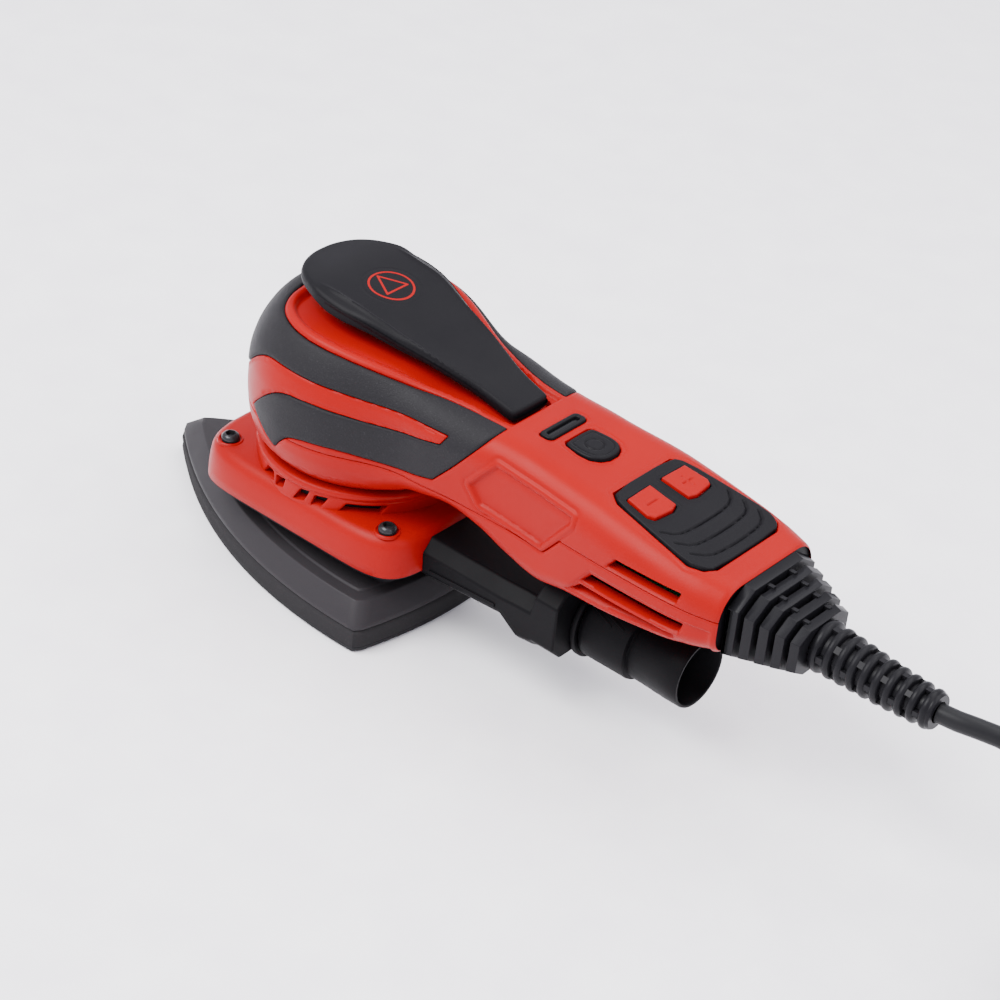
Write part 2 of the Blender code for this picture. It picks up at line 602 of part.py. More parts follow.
def build_electrics():
    solid("main_board", *box(-164, -92, -18, 18, 70.5, 72.1), GREEN, 0.5)
    solid("button_board", *box(-150, -126, -15, 15, 83, 84.6), GREEN, 0.5)
    solid("power_switch", *box(-110, -99, -6, 6, 86, 92.6), BLACK, 0.5)
    solid("lever_switch", *box(-42, -28, -5, 5, 86.5, 96.5), BLACK, 0.5)
    solid("capacitor", *disc(6.5, -122, -98, (9, 79.4), 14, "x"), GREY, 0.35)
    solid("terminal_block", *box(-176, -166, -9, 9, 70, 79), GREY, 0.5)


def rounded_section(x, half, low, high, r=5.0, sides=3):
    out = []
    for cy, cz, start in ((half - r, high - r, 0), (r - half, high - r, 90),
                          (r - half, low + r, 180), (half - r, low + r, 270)):
        for k in range(sides + 1):
            a = math.radians(start + 90 * k / sides)
            out.append((x, cy + r * math.cos(a), cz + r * math.sin(a)))
    return out


def build_dust_outlet():
    spec = [(-54.2, 25, 27.8, 43.6), (-91, 25, 31, 43.6), (-98.6, 25, 24.7, 44.4),
            (-104.6, 25, 23.7, 44.4), (-105.6, 25, 23.5, 55.2), (-116, 25, 23.5, 55.2)]
    duct = solid("dust_duct", *loft([rounded_section(*s) for s in spec]), BLACK, 0.5)
    channel = [rounded_section(-52, 18, 31.3, 40.6, 3), rounded_section(-92, 18, 33.6, 40.6, 3),
               rounded_section(-108, 14, 27, 40.6, 3)]
    boolean(duct, [loft(channel), disc(8.7, -118, -104, (0, SPOUT_Z), 20, "x")])
    solid("spout_ring", *turned([(9, -116.3), (16, -116.3), (16, -118.2), (9, -118.2)], 28,
                                (0, SPOUT_Z), "x"), BLACK, 0.45)
    profile = [(10.5, -118.5), (14.6, -118.5), (14.6, -139.4), (13.1, -139.6), (13.1, -140.6),
               (SPOUT_OUTER, -140.8), (SPOUT_OUTER, -152), (SPOUT_OUTER - 0.3, SPOUT_END),
               (SPOUT_INNER, SPOUT_END), (SPOUT_INNER, -123), (10.5, -122)]
    solid("dust_spout", *turned(profile, 28, (0, SPOUT_Z), "x"), BLACK, 0.45, 0,
          (-118.5, 0, SPOUT_Z))


def build_cord_guard():
    plates = [(-184.3, -188.3, 23, 15.3, 75.7), (-190.2, -193.7, 21, 13.9, 75.0),
              (-195.6, -199.0, 19.2, 12.6, 74.3), (-200.9, -204.2, 17.2, 11.2, 73.6),
              (-206.0, -209.3, 15.2, 9.8, 73.0)]
    sides = 16
    rings = [[(x, y, z) for y, z in super_outline(7.9, 7.9, 2, sides, (0, 76))]
             for x in (-180.3, -184.3)]
    for x0, x1, half, tall, mid in plates:
        for x, cut in ((x0, 0.0), (x1 + 1.0, 0.0), (x1, 1.0)):
            rings.append([(x, y, z) for y, z in
                          super_outline(half - cut, tall - cut, 5, sides, (0, mid))])
        for x in (x1 - 0.01, x1 - 1.85 if x1 > -209 else x1 - 1.8):
            rings.append([(x, y, z) for y, z in
                          super_outline(9.0, 7.6, 2.5, sides, (0, mid - 0.3))])
    for x, r in ((-211.3, 9.4), (-235, 8.2), (GUARD_END, 7.0), (GUARD_END, 3.95), (-245.0, 3.95)):
        z = CORD_EXIT_Z + (72.6 - CORD_EXIT_Z) * max(0.0, (x + 245.0) / 33.7) if x > -245 else CORD_EXIT_Z
        rings.append([(x, y, zz) for y, zz in super_outline(r, r, 2, sides, (0, z))])
    solid("cord_guard", *loft(rings), RUBBER, 0.6)


def smooth_route(points, step):
    """Evenly spaced points on a Catmull-Rom curve through the route's points."""
    pts = [Vector(p) for p in points]
    pts = [pts[0] * 2 - pts[1]] + pts + [pts[-1] * 2 - pts[-2]]
    fine = []
    for i in range(1, len(pts) - 2):
        a, b, c, d = pts[i - 1], pts[i], pts[i + 1], pts[i + 2]
        for k in range(24):
            t = k / 24
            fine.append(0.5 * (2 * b + (c - a) * t + (2 * a - 5 * b + 4 * c - d) * t * t
                               + (3 * b - 3 * c + d - a) * t ** 3))
    fine.append(pts[-2])
    lengths = [0.0]
    for i in range(1, len(fine)):
        lengths.append(lengths[-1] + (fine[i] - fine[i - 1]).length)
    count = max(3, int(lengths[-1] / step))
    out = []
    for k in range(count + 1):
        target = lengths[-1] * k / count
        i = min(len(fine) - 2, max(0, int(np.searchsorted(lengths, target)) - 1))
        f = (target - lengths[i]) / max(1e-9, lengths[i + 1] - lengths[i])
        out.append(fine[i].lerp(fine[i + 1], f))
    return out


def cord_tube(name, route):
    data = bpy.data.curves.new(name, "CURVE")
    data.dimensions = "3D"
    data.bevel_depth = CORD_D / 2 * MM
    data.bevel_resolution = 2
    data.use_fill_caps = True
    points = smooth_route(route, CORD_D * 2.0)
    spline = data.splines.new("POLY")
    spline.points.add(len(points) - 1)
    for item, p in zip(spline.points, points):
        item.co = (p.x * MM, p.y * MM, p.z * MM, 1.0)
    obj = bpy.data.objects.new(name, data)
    bpy.context.scene.collection.objects.link(obj)
    data.materials.append(make_material(name, RUBBER, 0.6, 0.0))
    return obj


def build_cord():
    cord_tube("cord", CORD_ROUTE)
    cord_tube("cord_tail", TAIL_ROUTE)
    r0, r1, h = COIL_IN, COIL_OUT, COIL_HEIGHT
    profile = [(r0 + 5, 0.2), (r1 - 5, 0.2), (r1 - 1, 3), (r1, 7), (r1, h - 7), (r1 - 2, h - 2.4),
               (r1 - 6, h), (r0 + 6, h), (r0 + 2, h - 2.4), (r0, h - 7), (r0, 7), (r0 + 1, 3)]
    solid("cord_coil", *turned(profile, 28, COIL_CENTRE), RUBBER, 0.6)
    x, y, z = PLUG_TAIL
    spec = [(0, 4.2, 4.2), (10, 6, 5.2), (18, 10.5, 8.0), (30, 13, 8.4), (44, 12.6, 8.4)]
    rings = [[(x - d, yy, zz) for yy, zz in super_outline(w, t, 3, 16, (y, z))]
             for d, w, t in reversed(spec)]
    plug = solid("plug_body", *loft(rings), RUBBER, 0.5)
    number = 1
    for side in (1, -1):
        spot = (y + side * 6.5, z)
        boolean(plug, [disc(2.3, x - 50, x - 40, spot, 10, "x")])
        solid("plug_pin_%d" % number, *disc(2.0, x - 62, x - 40.3, spot, 10, "x"), STEEL, 0.3, 1.0)
        number += 1


def main():
    clear_scene()
    build_pad()
    build_rotor()
    build_motor()
    build_skirt()
    build_housing()
    grip_body(0.0, -1.6, 0.0)
    build_lever()
    build_controls()
    build_electrics()
    build_dust_outlet()
    build_cord_guard()
    build_cord()
    for item in bpy.data.objects:
        if item.type == "MESH":
            item.data.shade_smooth()
            item.data.set_sharp_from_angle(angle=math.radians(35))


main()
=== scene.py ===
import math

import bpy
import bmesh
import numpy as np
from mathutils import Matrix, Vector


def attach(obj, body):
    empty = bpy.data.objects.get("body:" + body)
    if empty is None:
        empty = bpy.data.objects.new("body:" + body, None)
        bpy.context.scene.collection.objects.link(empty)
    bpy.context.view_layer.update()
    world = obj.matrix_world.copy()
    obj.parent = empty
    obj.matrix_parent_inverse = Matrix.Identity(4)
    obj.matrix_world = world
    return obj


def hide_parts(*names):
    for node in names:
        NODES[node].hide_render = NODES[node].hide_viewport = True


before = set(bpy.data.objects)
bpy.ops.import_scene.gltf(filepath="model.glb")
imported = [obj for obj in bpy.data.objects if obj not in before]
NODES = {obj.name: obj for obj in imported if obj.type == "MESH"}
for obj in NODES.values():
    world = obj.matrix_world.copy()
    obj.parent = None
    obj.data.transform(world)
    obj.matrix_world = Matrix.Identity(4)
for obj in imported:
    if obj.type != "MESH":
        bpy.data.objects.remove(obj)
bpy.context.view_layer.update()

MM = 0.001
FINE = 1.0

RED = (0.25, 0.0010, 0.0010)
BLACK = (0.0034, 0.0031, 0.0042)
SOFT = (0.0070, 0.0064, 0.0078)
MATS = {}


# ---- camera and light
CAMERA_AZIMUTH, CAMERA_HEIGHT, CAMERA_ROLL = -142.57, 34.03, 6.2
CAMERA_DISTANCE, CAMERA_LENS = 1.08697, 103.6
CAMERA_TARGET = (-0.050, -0.02123, 0.040)


def link_object(name, data):
    obj = bpy.data.objects.new(name, data)
    bpy.context.scene.collection.objects.link(obj)
    return obj


def edit_mesh(mesh, change):
    """Run change on the mesh's bmesh."""
    bm = bmesh.new()
    bm.from_mesh(mesh)
    change(bm)
    bm.to_mesh(mesh)
    bm.free()


def place_camera():
    az, el, roll = map(math.radians, (CAMERA_AZIMUTH, CAMERA_HEIGHT, CAMERA_ROLL))
    back = Vector((math.sin(az) * math.cos(el), -math.cos(az) * math.cos(el), math.sin(el)))
    data = bpy.data.cameras.new("camera")
    data.lens, data.sensor_width = CAMERA_LENS, 36.0
    data.clip_start, data.clip_end = 0.01, 50.0
    obj = link_object("camera", data)
    obj.matrix_world = (Matrix.Translation(Vector(CAMERA_TARGET) + back * CAMERA_DISTANCE)
                        @ back.to_track_quat("Z", "Y").to_matrix().to_4x4()
                        @ Matrix.Rotation(roll, 4, "Z"))
    bpy.context.scene.camera = obj


def area_light(name, spot, aim, size, power, colour=(1, 1, 1)):
    data = bpy.data.lights.new(name, "AREA")
    data.shape, data.size, data.size_y = "RECTANGLE", size[0], size[1]
    data.energy, data.color = power, colour
    obj = link_object(name, data)
    obj.location = spot
    obj.rotation_euler = (Vector(aim) - Vector(spot)).to_track_quat("-Z", "Y").to_euler()


def place_studio():
    world = bpy.data.worlds.new("studio")
    world.use_nodes = True
    tint = world.node_tree.nodes["Background"]
    tint.inputs["Color"].default_value = (0.93, 0.92, 1.0, 1)
    tint.inputs["Strength"].default_value = 1.66
    bpy.context.scene.world = world
    area_light("key", (0.35, 0.75, 1.25), (0, 0, 0.03), (1.0, 0.8), 42.0)
    area_light("fill", (-1.1, -0.2, 0.9), (-0.1, 0, 0.05), (1.0, 1.0), 10.5, (0.97, 0.97, 1))
    area_light("top", (-0.3, -0.6, 1.4), (-0.05, 0, 0.05), (1.2, 1.0), 16.0)
    mesh = bpy.data.meshes.new("floor")
    edit_mesh(mesh, lambda bm: bmesh.ops.create_grid(bm, x_segments=24, y_segments=24, size=3))
    obj = link_object("floor", mesh)
    mesh.materials.append(surface("floor_paper", (0.965, 0.93, 0.985), 0.75, 900, 0.05, 0.03))
    obj.location.z = -0.0004


# ---- materials
def surface(name, colour, rough, grain=2500, bump=0.15, vary=0.06, metal=0.0, speck=0.0,
            wear=0.0, spec=0.5, coat=0.0):
    """Moulded or coated surface: fine grain bump, patchy roughness and colour, worn edges."""
    mat = bpy.data.materials.new(name)
    mat.use_nodes = True
    tree = mat.node_tree
    bsdf = tree.nodes["Principled BSDF"]
    link = tree.links.new

    def node(kind, **values):
        new = tree.nodes.new("ShaderNode" + kind)
        for key, value in values.items():
            new.inputs[key.replace("_", " ")].default_value = value
        return new

    def noise(scale, detail):
        new = node("TexNoise", Scale=scale, Detail=detail)
        link(coord.outputs["Object"], new.inputs["Vector"])
        return new.outputs["Fac"]

    def mixed(factor, under, over):
        """Colour over laid on under where factor is 1; under may be a socket."""
        new = tree.nodes.new("ShaderNodeMix")
        new.data_type = "RGBA"
        new.inputs["B"].default_value = (*over, 1)
        link(factor, new.inputs["Factor"])
        if isinstance(under, tuple):
            new.inputs["A"].default_value = (*under, 1)
        else:
            link(under, new.inputs["A"])
        return new.outputs["Result"]

    def masked(source, low, high, amount):
        """A socket that rises from 0 to amount while the source goes from low to high."""
        ramp = node("MapRange", From_Min=low, From_Max=high)
        link(source, ramp.inputs["Value"])
        scale = tree.nodes.new("ShaderNodeMath")
        scale.operation = "MULTIPLY"
        scale.inputs[1].default_value = amount
        link(ramp.outputs["Result"], scale.inputs[0])
        return scale.outputs[0]

    coord = node("TexCoord")
    broad = noise(38.0, 4.0)
    patches = node("MapRange", From_Min=0.3, From_Max=0.7, To_Min=max(0.05, rough - vary),
                   To_Max=min(1.0, rough + vary))
    link(broad, patches.inputs["Value"])
    link(patches.outputs["Result"], bsdf.inputs["Roughness"])
    last = mixed(broad, tuple(c * 0.9 for c in colour), [min(1, c * 1.08 + 0.0004) for c in colour])
    if speck:
        last = mixed(masked(noise(grain * 0.8, 1.0), 0.62, 0.74, speck), last,
                     [min(1, c * 2.6 + 0.02) for c in colour])
    if wear:
        edges = tree.nodes.new("ShaderNodeNewGeometry").outputs["Pointiness"]
        last = mixed(masked(edges, 0.53, 0.62, wear), last, [min(1, c * 1.5 + 0.006) for c in colour])
    link(last, bsdf.inputs["Base Color"])
    push = node("Bump", Strength=bump, Distance=0.0002)
    link(noise(grain, 3.0), push.inputs["Height"])
    link(push.outputs["Normal"], bsdf.inputs["Normal"])
    bsdf.inputs["Metallic"].default_value = metal
    bsdf.inputs["Specular IOR Level"].default_value = spec * 0.3
    if coat:
        bsdf.inputs["Coat Weight"].default_value = coat
        bsdf.inputs["Coat Roughness"].default_value = 0.25
    mat.diffuse_color = (*colour, 1)
    return mat


# ---- shape helpers
def curve(points):
    """Monotone cubic through (x, value) points, held constant past the ends."""
    points = sorted(points)
    x = np.array([p[0] for p in points], float)
    y = np.array([p[1] for p in points], float)
    h = np.diff(x)
    slope = np.diff(y) / h
    m = np.zeros(len(x))
    m[0], m[-1] = slope[0], slope[-1]
    for i in range(1, len(x) - 1):
        if slope[i - 1] * slope[i] > 0:
            w1, w2 = 2 * h[i] + h[i - 1], h[i] + 2 * h[i - 1]
            m[i] = (w1 + w2) / (w1 / slope[i - 1] + w2 / slope[i])

    def value(at):
        at = np.clip(np.asarray(at, float), x[0], x[-1])
        i = np.clip(np.searchsorted(x, at) - 1, 0, len(h) - 1)
        t = (at - x[i]) / h[i]
        return ((1 + 2 * t) * (1 - t) ** 2 * y[i] + t * (1 - t) ** 2 * h[i] * m[i]
                + t * t * (3 - 2 * t) * y[i + 1] + t * t * (t - 1) * h[i] * m[i + 1])
    return value


head_radius = curve([(40, 36), (54, 39.5), (58, 41.5), (62, 43), (68, 44.7), (78, 45.5), (88, 45.1),
                     (96, 43.3), (104.5, 39.2), (112, 33), (118, 27), (122, 20)])
handle_bottom = curve([(-184, 66), (-172, 63.5), (-155, 61.5), (-137, 59.5), (-120, 58.3), (-106, 56),
                       (-91, 59), (-78, 63.5), (-62, 66.5), (-45, 64), (-30, 60), (0, 60)])
handle_top = curve([(-184, 91.5), (-174, 92.8), (-138, 98), (-127, 99.5), (-105, 101), (-91, 102),
                    (-75, 102.2), (-46, 104.5), (-20, 108), (0, 110), (45, 110.5)])
handle_half = curve([(-184, 27), (-172, 29.5), (-160, 30.4), (-143, 30.6), (-125, 30.2), (-97, 28.7),
                     (-86, 28.5), (-74, 28.9), (-50, 31), (0, 31.5)])
lever_middle = curve([(-80, 101), (-75, 102), (-46, 110), (-30, 114), (-8, 119.6), (13, 121), (36, 120)])


def body_field(x, y, z):
    """Distance-like field of the head bulb blended with the handle; negative inside."""
    head = (np.hypot(x, y) - head_radius(z)) * 0.9
    head = np.maximum(head, 44.0 - z)
    top, bottom, half = handle_top(x), handle_bottom(x), handle_half(x)
    mid, tall = (top + bottom) / 2, (top - bottom) / 2
    r = np.where(z > mid, 12.0, 8.0)
    qy, qz = np.abs(y) - half + r, np.abs(z - mid) - tall + r
    bar = (np.hypot(np.maximum(qy, 0), np.maximum(qz, 0)) + np.minimum(np.maximum(qy, qz), 0) - r)
    bar = np.maximum(bar, x + 10.0)
    # the rear end is cut flat with a rounded edge
    end, k = -181.5 - x, 2.5
    bar = np.where(x < -170, np.maximum(bar, end - k) + np.maximum(0, k - np.abs(bar - end + k))
                   ** 2 / (4 * k), bar)
    blend = np.clip(0.5 + 0.05 * (bar - head), 0, 1)
    both = bar * (1 - blend) + head * blend - 10.0 * blend * (1 - blend)
    cap = z - handle_top(x) - 1.5
    h = np.clip(0.5 + 0.5 * (cap - both) / 4.0, 0, 1)
    return both * (1 - h) + cap * h + 4.0 * h * (1 - h) - 0.6


def mesh_object(name, part, key, body="housing", replaces=(), sharp=40):
    """A smooth-shaded mesh from (verts, faces) in millimetres, riding on a body."""
    verts, faces = part
    mesh = bpy.data.meshes.new(name)
    mesh.from_pydata([(v[0] * MM, v[1] * MM, v[2] * MM) for v in verts], [], faces)
    mesh.validate()
    edit_mesh(mesh, lambda bm: bmesh.ops.remove_doubles(bm, verts=bm.verts, dist=1e-7))
    obj = link_object(name, mesh)
    mesh.shade_smooth()
    mesh.set_sharp_from_angle(angle=math.radians(sharp))
    mesh.materials.append(MATS[key])
    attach(obj, body)
    if replaces:
        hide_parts(*replaces)
    return obj


def solid(name, part, key, body="housing", replaces=(), sharp=40):
    """A mesh object whose faces are turned outwards."""
    obj = mesh_object(name, part, key, body, replaces, sharp)
    edit_mesh(obj.data, lambda bm: bmesh.ops.recalc_face_normals(bm, faces=bm.faces))
    return obj


def bevel(obj, width, segments=3, angle=30):
    """Round the edges that are sharper than angle."""
    mod = obj.modifiers.new("bevel", "BEVEL")
    mod.width, mod.segments = width * MM, segments
    mod.limit_method, mod.angle_limit = "ANGLE", math.radians(angle)


def grid_faces(shape):
    """Quads between n rings of m points each, every ring closed."""
    n, m = shape
    i, j = np.meshgrid(np.arange(n - 1), np.arange(m), indexing="ij")
    k = (j + 1) % m
    return np.stack([i * m + j, i * m + k, (i + 1) * m + k, (i + 1) * m + j], -1).reshape(-1, 4)


def loft(rings, cap=True):
    """Faces between equal rings of points, with flat ends if cap is set."""
    count = len(rings[0])
    verts = [tuple(p) for ring in rings for p in ring]
    faces = [tuple(q) for q in grid_faces((len(rings), count)).tolist()]
    if cap:
        faces.append(tuple(reversed(range(count))))
        faces.append(tuple(range((len(rings) - 1) * count, len(rings) * count)))
    return verts, faces


def prism(outline, low, high):
    """An (x, z) outline drawn out along y."""
    return loft([[(x, low, z) for x, z in outline], [(x, high, z) for x, z in outline]])


def joined(parts):
    """Several (verts, faces) parts as one."""
    verts, faces = [], []
    for part_verts, part_faces in parts:
        faces += [tuple(v + len(verts) for v in f) for f in part_faces]
        verts += part_verts
    return verts, faces


def band(inner, outer, low, high):
    """The profile of a plain ring."""
    return [(inner, low), (outer, low), (outer, high), (inner, high)]


def circle(radius, sides):
    return [(radius * math.cos(2 * math.pi * i / sides),
             radius * math.sin(2 * math.pi * i / sides)) for i in range(sides)]


def turned(profile, sides, centre=(0.0, 0.0), axis="z", closed=True):
    """A (radius, height) profile turned about an axis along z or x."""
    verts, faces = [], []
    n = len(profile)
    for i in range(sides):
        a = 2 * math.pi * i / sides
        c, s = math.cos(a), math.sin(a)
        for r, h in profile:
            verts.append((centre[0] + r * c, centre[1] + r * s, h) if axis == "z"
                         else (h, centre[0] + r * c, centre[1] + r * s))
    for i in range(sides):
        j = (i + 1) % sides
        for k in range(n if closed else n - 1):
            m = (k + 1) % n
            faces.append((i * n + k, j * n + k, j * n + m, i * n + m))
    return verts, faces


def super_outline(a, b, power, sides, centre=(0.0, 0.0)):
    """A rounded rectangle of half sizes a and b; a higher power has tighter corners."""
    out = []
    for i in range(sides):
        t = 2 * math.pi * (i + 0.5) / sides
        c, s = math.cos(t), math.sin(t)
        r = (abs(c) ** power + abs(s) ** power) ** (-1.0 / power)
        out.append((centre[0] + a * r * c, centre[1] + b * r * s))
    return out


def grown(outline, amount):
    """An outline moved outwards by amount."""
    pts = [Vector(p) for p in outline]
    out = []
    for i, p in enumerate(pts):
        e1 = (p - pts[i - 1]).normalized()
        e2 = (pts[(i + 1) % len(pts)] - p).normalized()
        n1, n2 = Vector((e1.y, -e1.x)), Vector((e2.y, -e2.x))
        n = (n1 + n2).normalized()
        n = n / max(0.35, n.dot(n1))
        out.append(tuple(p + n * amount))
    return out


def chaikin(points, times=2, closed=True):
    """Corner-cutting smoothing."""
    pts = [np.array(p, float) for p in points]
    for _ in range(times):
        out = []
        n = len(pts)
        if not closed:
            out.append(pts[0])
        for i in range(n if closed else n - 1):
            a, b = pts[i], pts[(i + 1) % n]
            out += [a * 0.75 + b * 0.25, a * 0.25 + b * 0.75]
        if not closed:
            out.append(pts[-1])
        pts = out
    return [tuple(p) for p in pts]


def line_distance(px, py, points):
    best = np.full(px.shape, 1e18)
    for (ax, ay), (bx, by) in zip(points, points[1:]):
        dx, dy = bx - ax, by - ay
        t = np.clip(((px - ax) * dx + (py - ay) * dy) / max(1e-12, dx * dx + dy * dy), 0, 1)
        best = np.minimum(best, (px - ax - t * dx) ** 2 + (py - ay - t * dy) ** 2)
    return np.sqrt(best)


def polygon_distance(px, py, outline):
    """Signed distance to a closed outline, negative inside."""
    ring = [outline[-1], *outline]
    inside = np.zeros(px.shape, bool)
    for (ax, ay), (bx, by) in zip(ring, ring[1:]):
        if ay != by:
            inside ^= ((ay > py) != (by > py)) & (px < (bx - ax) * (py - ay) / (by - ay) + ax)
    best = line_distance(px, py, ring)
    return np.where(inside, -best, best)


def within(outline):
    return lambda x, y: polygon_distance(x, y, outline)


def smooth_step(v, a, b):
    t = np.clip((v - a) / (b - a), 0, 1)
    return t * t * (3 - 2 * t)


# ---- the shell's surface
def reach(near, far, inside):
    """Bisect for the distance at which inside(distance) turns false."""
    for _ in range(40):
        middle = (near + far) / 2
        hit = inside(middle)
        near, far = np.where(hit, middle, near), np.where(hit, far, middle)
    return near


def body_grid():
    """Ray-cast points of the outer body on a fine grid, with outward normals."""
    step = 0.75 / FINE
    heights = np.linspace(60.0, 95.0, 701)
    front = reach(np.full(heights.shape, 20.0), np.full(heights.shape, 60.0),
                  lambda x: body_field(x, 0 * x, heights) < 0)
    front_x, nose_z = front.max(), heights[front.argmax()]
    long = list(np.arange(-180.0, 8.0, step))
    rear = list(-184.0 + 4.0 * (np.linspace(0.0, 1, 8)[:-1]) ** 1.6 - 0.1)
    arc = np.append(np.linspace(0, 1, int(60 / step))[1:-1], [0.996, 0.9995])
    nose = list(8.0 + (front_x - 8.0) * np.sin(arc * math.pi / 2))
    xs = np.array(rear + long + nose)
    sides = int(400 * FINE)
    angle = 2 * np.pi * (np.arange(sides) + 0.5) / sides
    X = np.repeat(xs[:, None], sides, 1)
    core = 80.0 + (nose_z - 80.0) * smooth_step(X, 10.0, front_x - 1.0)
    dy, dz = np.cos(angle)[None, :], np.sin(angle)[None, :]
    out = reach(np.zeros(X.shape), np.full(X.shape, 90.0),
                lambda d: body_field(X, d * dy, core + d * dz) < 0)
    P = np.stack([X, out * dy, core + out * dz], -1)

    def slope(dx, dy, dz):
        return (body_field(P[..., 0] + dx, P[..., 1] + dy, P[..., 2] + dz)
                - body_field(P[..., 0] - dx, P[..., 1] - dy, P[..., 2] - dz))
    e = 0.25
    N = np.stack([slope(e, 0, 0), slope(0, e, 0), slope(0, 0, e)], -1)
    N /= np.maximum(1e-9, np.linalg.norm(N, axis=-1, keepdims=True))
    return P, N


def clipped_piece(name, P, N, quads, s, move, key, depth, replaces=(), body="housing"):
    """The part of a surface where s < 0, moved along its normals, with turned-in edges.

    s is a signed distance at each point; move(s, points) gives the height above the base.
    """
    inside, total = s < 0, len(P)
    full = inside[quads].all(1)
    mixed = quads[inside[quads].any(1) & ~full]
    new_p, new_n, cut, rims = [], [], {}, []
    faces = [tuple(q) for q in quads[full]]

    def crossing(a, b):
        edge = (a, b) if a < b else (b, a)
        if edge not in cut:
            t = min(0.98, max(0.02, s[a] / (s[a] - s[b])))
            cut[edge] = total + len(new_p)
            new_p.append(P[a] * (1 - t) + P[b] * t)
            n = N[a] * (1 - t) + N[b] * t
            new_n.append(n / np.linalg.norm(n))
        return cut[edge]

    for q in mixed:
        ring = []
        for a, b in zip(q, np.roll(q, -1)):
            if inside[a]:
                ring.append(int(a))
            if inside[a] != inside[b]:
                ring.append(crossing(int(a), int(b)))
        if len(ring) > 2:
            faces.append(tuple(ring))
            rims += [(a, b) for a, b in zip(ring, ring[1:] + ring[:1]) if min(a, b) >= total]
    allp = np.concatenate([P, np.array(new_p).reshape(-1, 3)])
    alln = np.concatenate([N, np.array(new_n).reshape(-1, 3)])
    alls = np.concatenate([s, np.zeros(len(new_p))])
    used = np.zeros(len(allp), bool)
    for f in faces:
        used[list(f)] = True
    idx = np.nonzero(used)[0]
    back = np.full(len(allp), -1)
    back[idx] = np.arange(len(idx))
    top = allp[idx] + alln[idx] * move(alls[idx], allp[idx])[:, None]
    verts = [tuple(v) for v in top]
    out = [tuple(back[v] for v in f) for f in faces]
    sunk = {}
    for a, b in rims:
        for v in (a, b):
            if v not in sunk:
                sunk[v] = len(verts)
                verts.append(tuple(top[back[v]] - alln[v] * depth))
        out.append((back[b], back[a], sunk[a], sunk[b]))
    mesh_object(name, (verts, out), key, body, replaces, 50)


def roll(s, r, drop):
    """Rounded fall-off towards an edge at s = 0."""
    t = np.clip(1 + s / r, 0, 1)
    return -drop * (1 - np.sqrt(np.maximum(0, 1 - t * t)))


def rolled(r, drop):
    return lambda s, *place: roll(s, r, drop)


def flat(height):
    return lambda x, y: height + 0 * x


# Outlines. Seen from the side: the grip's stripe, foot and rear edge, and the sunk hexagon.
STRIPE_TOP = [(36, 82), (31, 86.5), (24, 93.5), (16, 98.3), (6, 99.2), (-15, 98.6), (-33, 96.8),
              (-50, 97.3), (-62.6, 96.8)]
STRIPE_LOW = [(-60.2, 92.6), (-47, 90.2), (-34, 88.9), (-17, 90.6), (-7, 91.2), (4.7, 90.2), (14.7, 82.6),
              (21.3, 75.3)]
GRIP_FOOT = [(21.3, 75.3), (13, 68.5), (6.6, 64.5), (2.9, 69.6), (-2.4, 74.2), (-18.4, 75.6),
             (-35.4, 73.6), (-48.2, 74.7), (-58.4, 76.9)]
GRIP_REAR = [(-58.4, 76.9), (-67, 86.4), (-75.3, 97), (-79.5, 104)]
HEX = [(-74.6, 82.3), (-84.9, 94.5), (-120.4, 92.2), (-120.4, 89.9), (-108.6, 74.3), (-79.6, 76.3)]
# Seen from above: the red crown, then the panel, the keys and the lever.
CROWN = [(28.2, 0), (27.6, 7), (26.3, 12), (24.9, 21), (21.2, 28), (13, 33), (4.7, 35.3), (-5.1, 35.8),
         (-16.3, 33.4), (-26.4, 29.8), (-40, 24), (-57.6, 18.3), (-72, 16.2), (-90, 15.7)]


def mirrored(half):
    """A closed outline from its left half."""
    return half + [(x, -y) for x, y in reversed(half) if abs(y) > 1e-6]


PANEL = mirrored([(-127.2, 15.8), (-132, 19.2), (-150, 21.4), (-166, 23.0), (-171.4, 21.0), (-174, 17.0)])
POWER = mirrored([(-97.4, 6.2), (-98.8, 7.6), (-105, 8.3), (-109.6, 7.8), (-112.6, 5.4), (-114, 2.2)])
KEY = [(-133.0, 3.3), (-133.3, 15.9), (-143.2, 16.9), (-145.4, 15.6), (-146.3, 7.0), (-145.2, 3.6)]
LEVER = [(29.4, 0), (29.2, 5), (27.6, 10.5), (25.2, 14.8), (22, 18.2), (18, 20.9), (11, 24), (4, 24.9),
         (-4, 25), (-12, 23.8), (-23, 20.6), (-35, 17), (-45, 14.6), (-52, 12.8), (-60, 11), (-67, 10.1),
         (-75.0, 9.8), (-76.2, 8.4)]
# The collar's windows, seen from the side.
WINDOWS = [[(9.6, 46.2), (17.9, 44.4), (14.6, 50.2), (10.0, 50.2)],
           [(8.6, 45.0), (3.9, 46.4), (3.0, 50.6), (8.2, 49.9)],
           [(-1.2, 44.4), (-6.6, 45.6), (-8.8, 50.7), (-4.6, 50.3)],
           [(-9.3, 44.9), (-13.5, 45.4), (-16.2, 50.3), (-10.9, 49.9)],
           [(-19.0, 44.2), (-31.2, 44.4), (-33.6, 49.6), (-22.4, 49.6)]]


def sharp_chain(points, keep):
    """Smooth an outline between its kept corner indices."""
    out = []
    n = len(points)
    keep = sorted(keep)
    for a, b in zip(keep, keep[1:] + [keep[0] + n]):
        part = [points[i % n] for i in range(a, b + 1)]
        out += chaikin(part, 3, closed=False)[:-1] if len(part) > 2 else [part[0]]
    return out


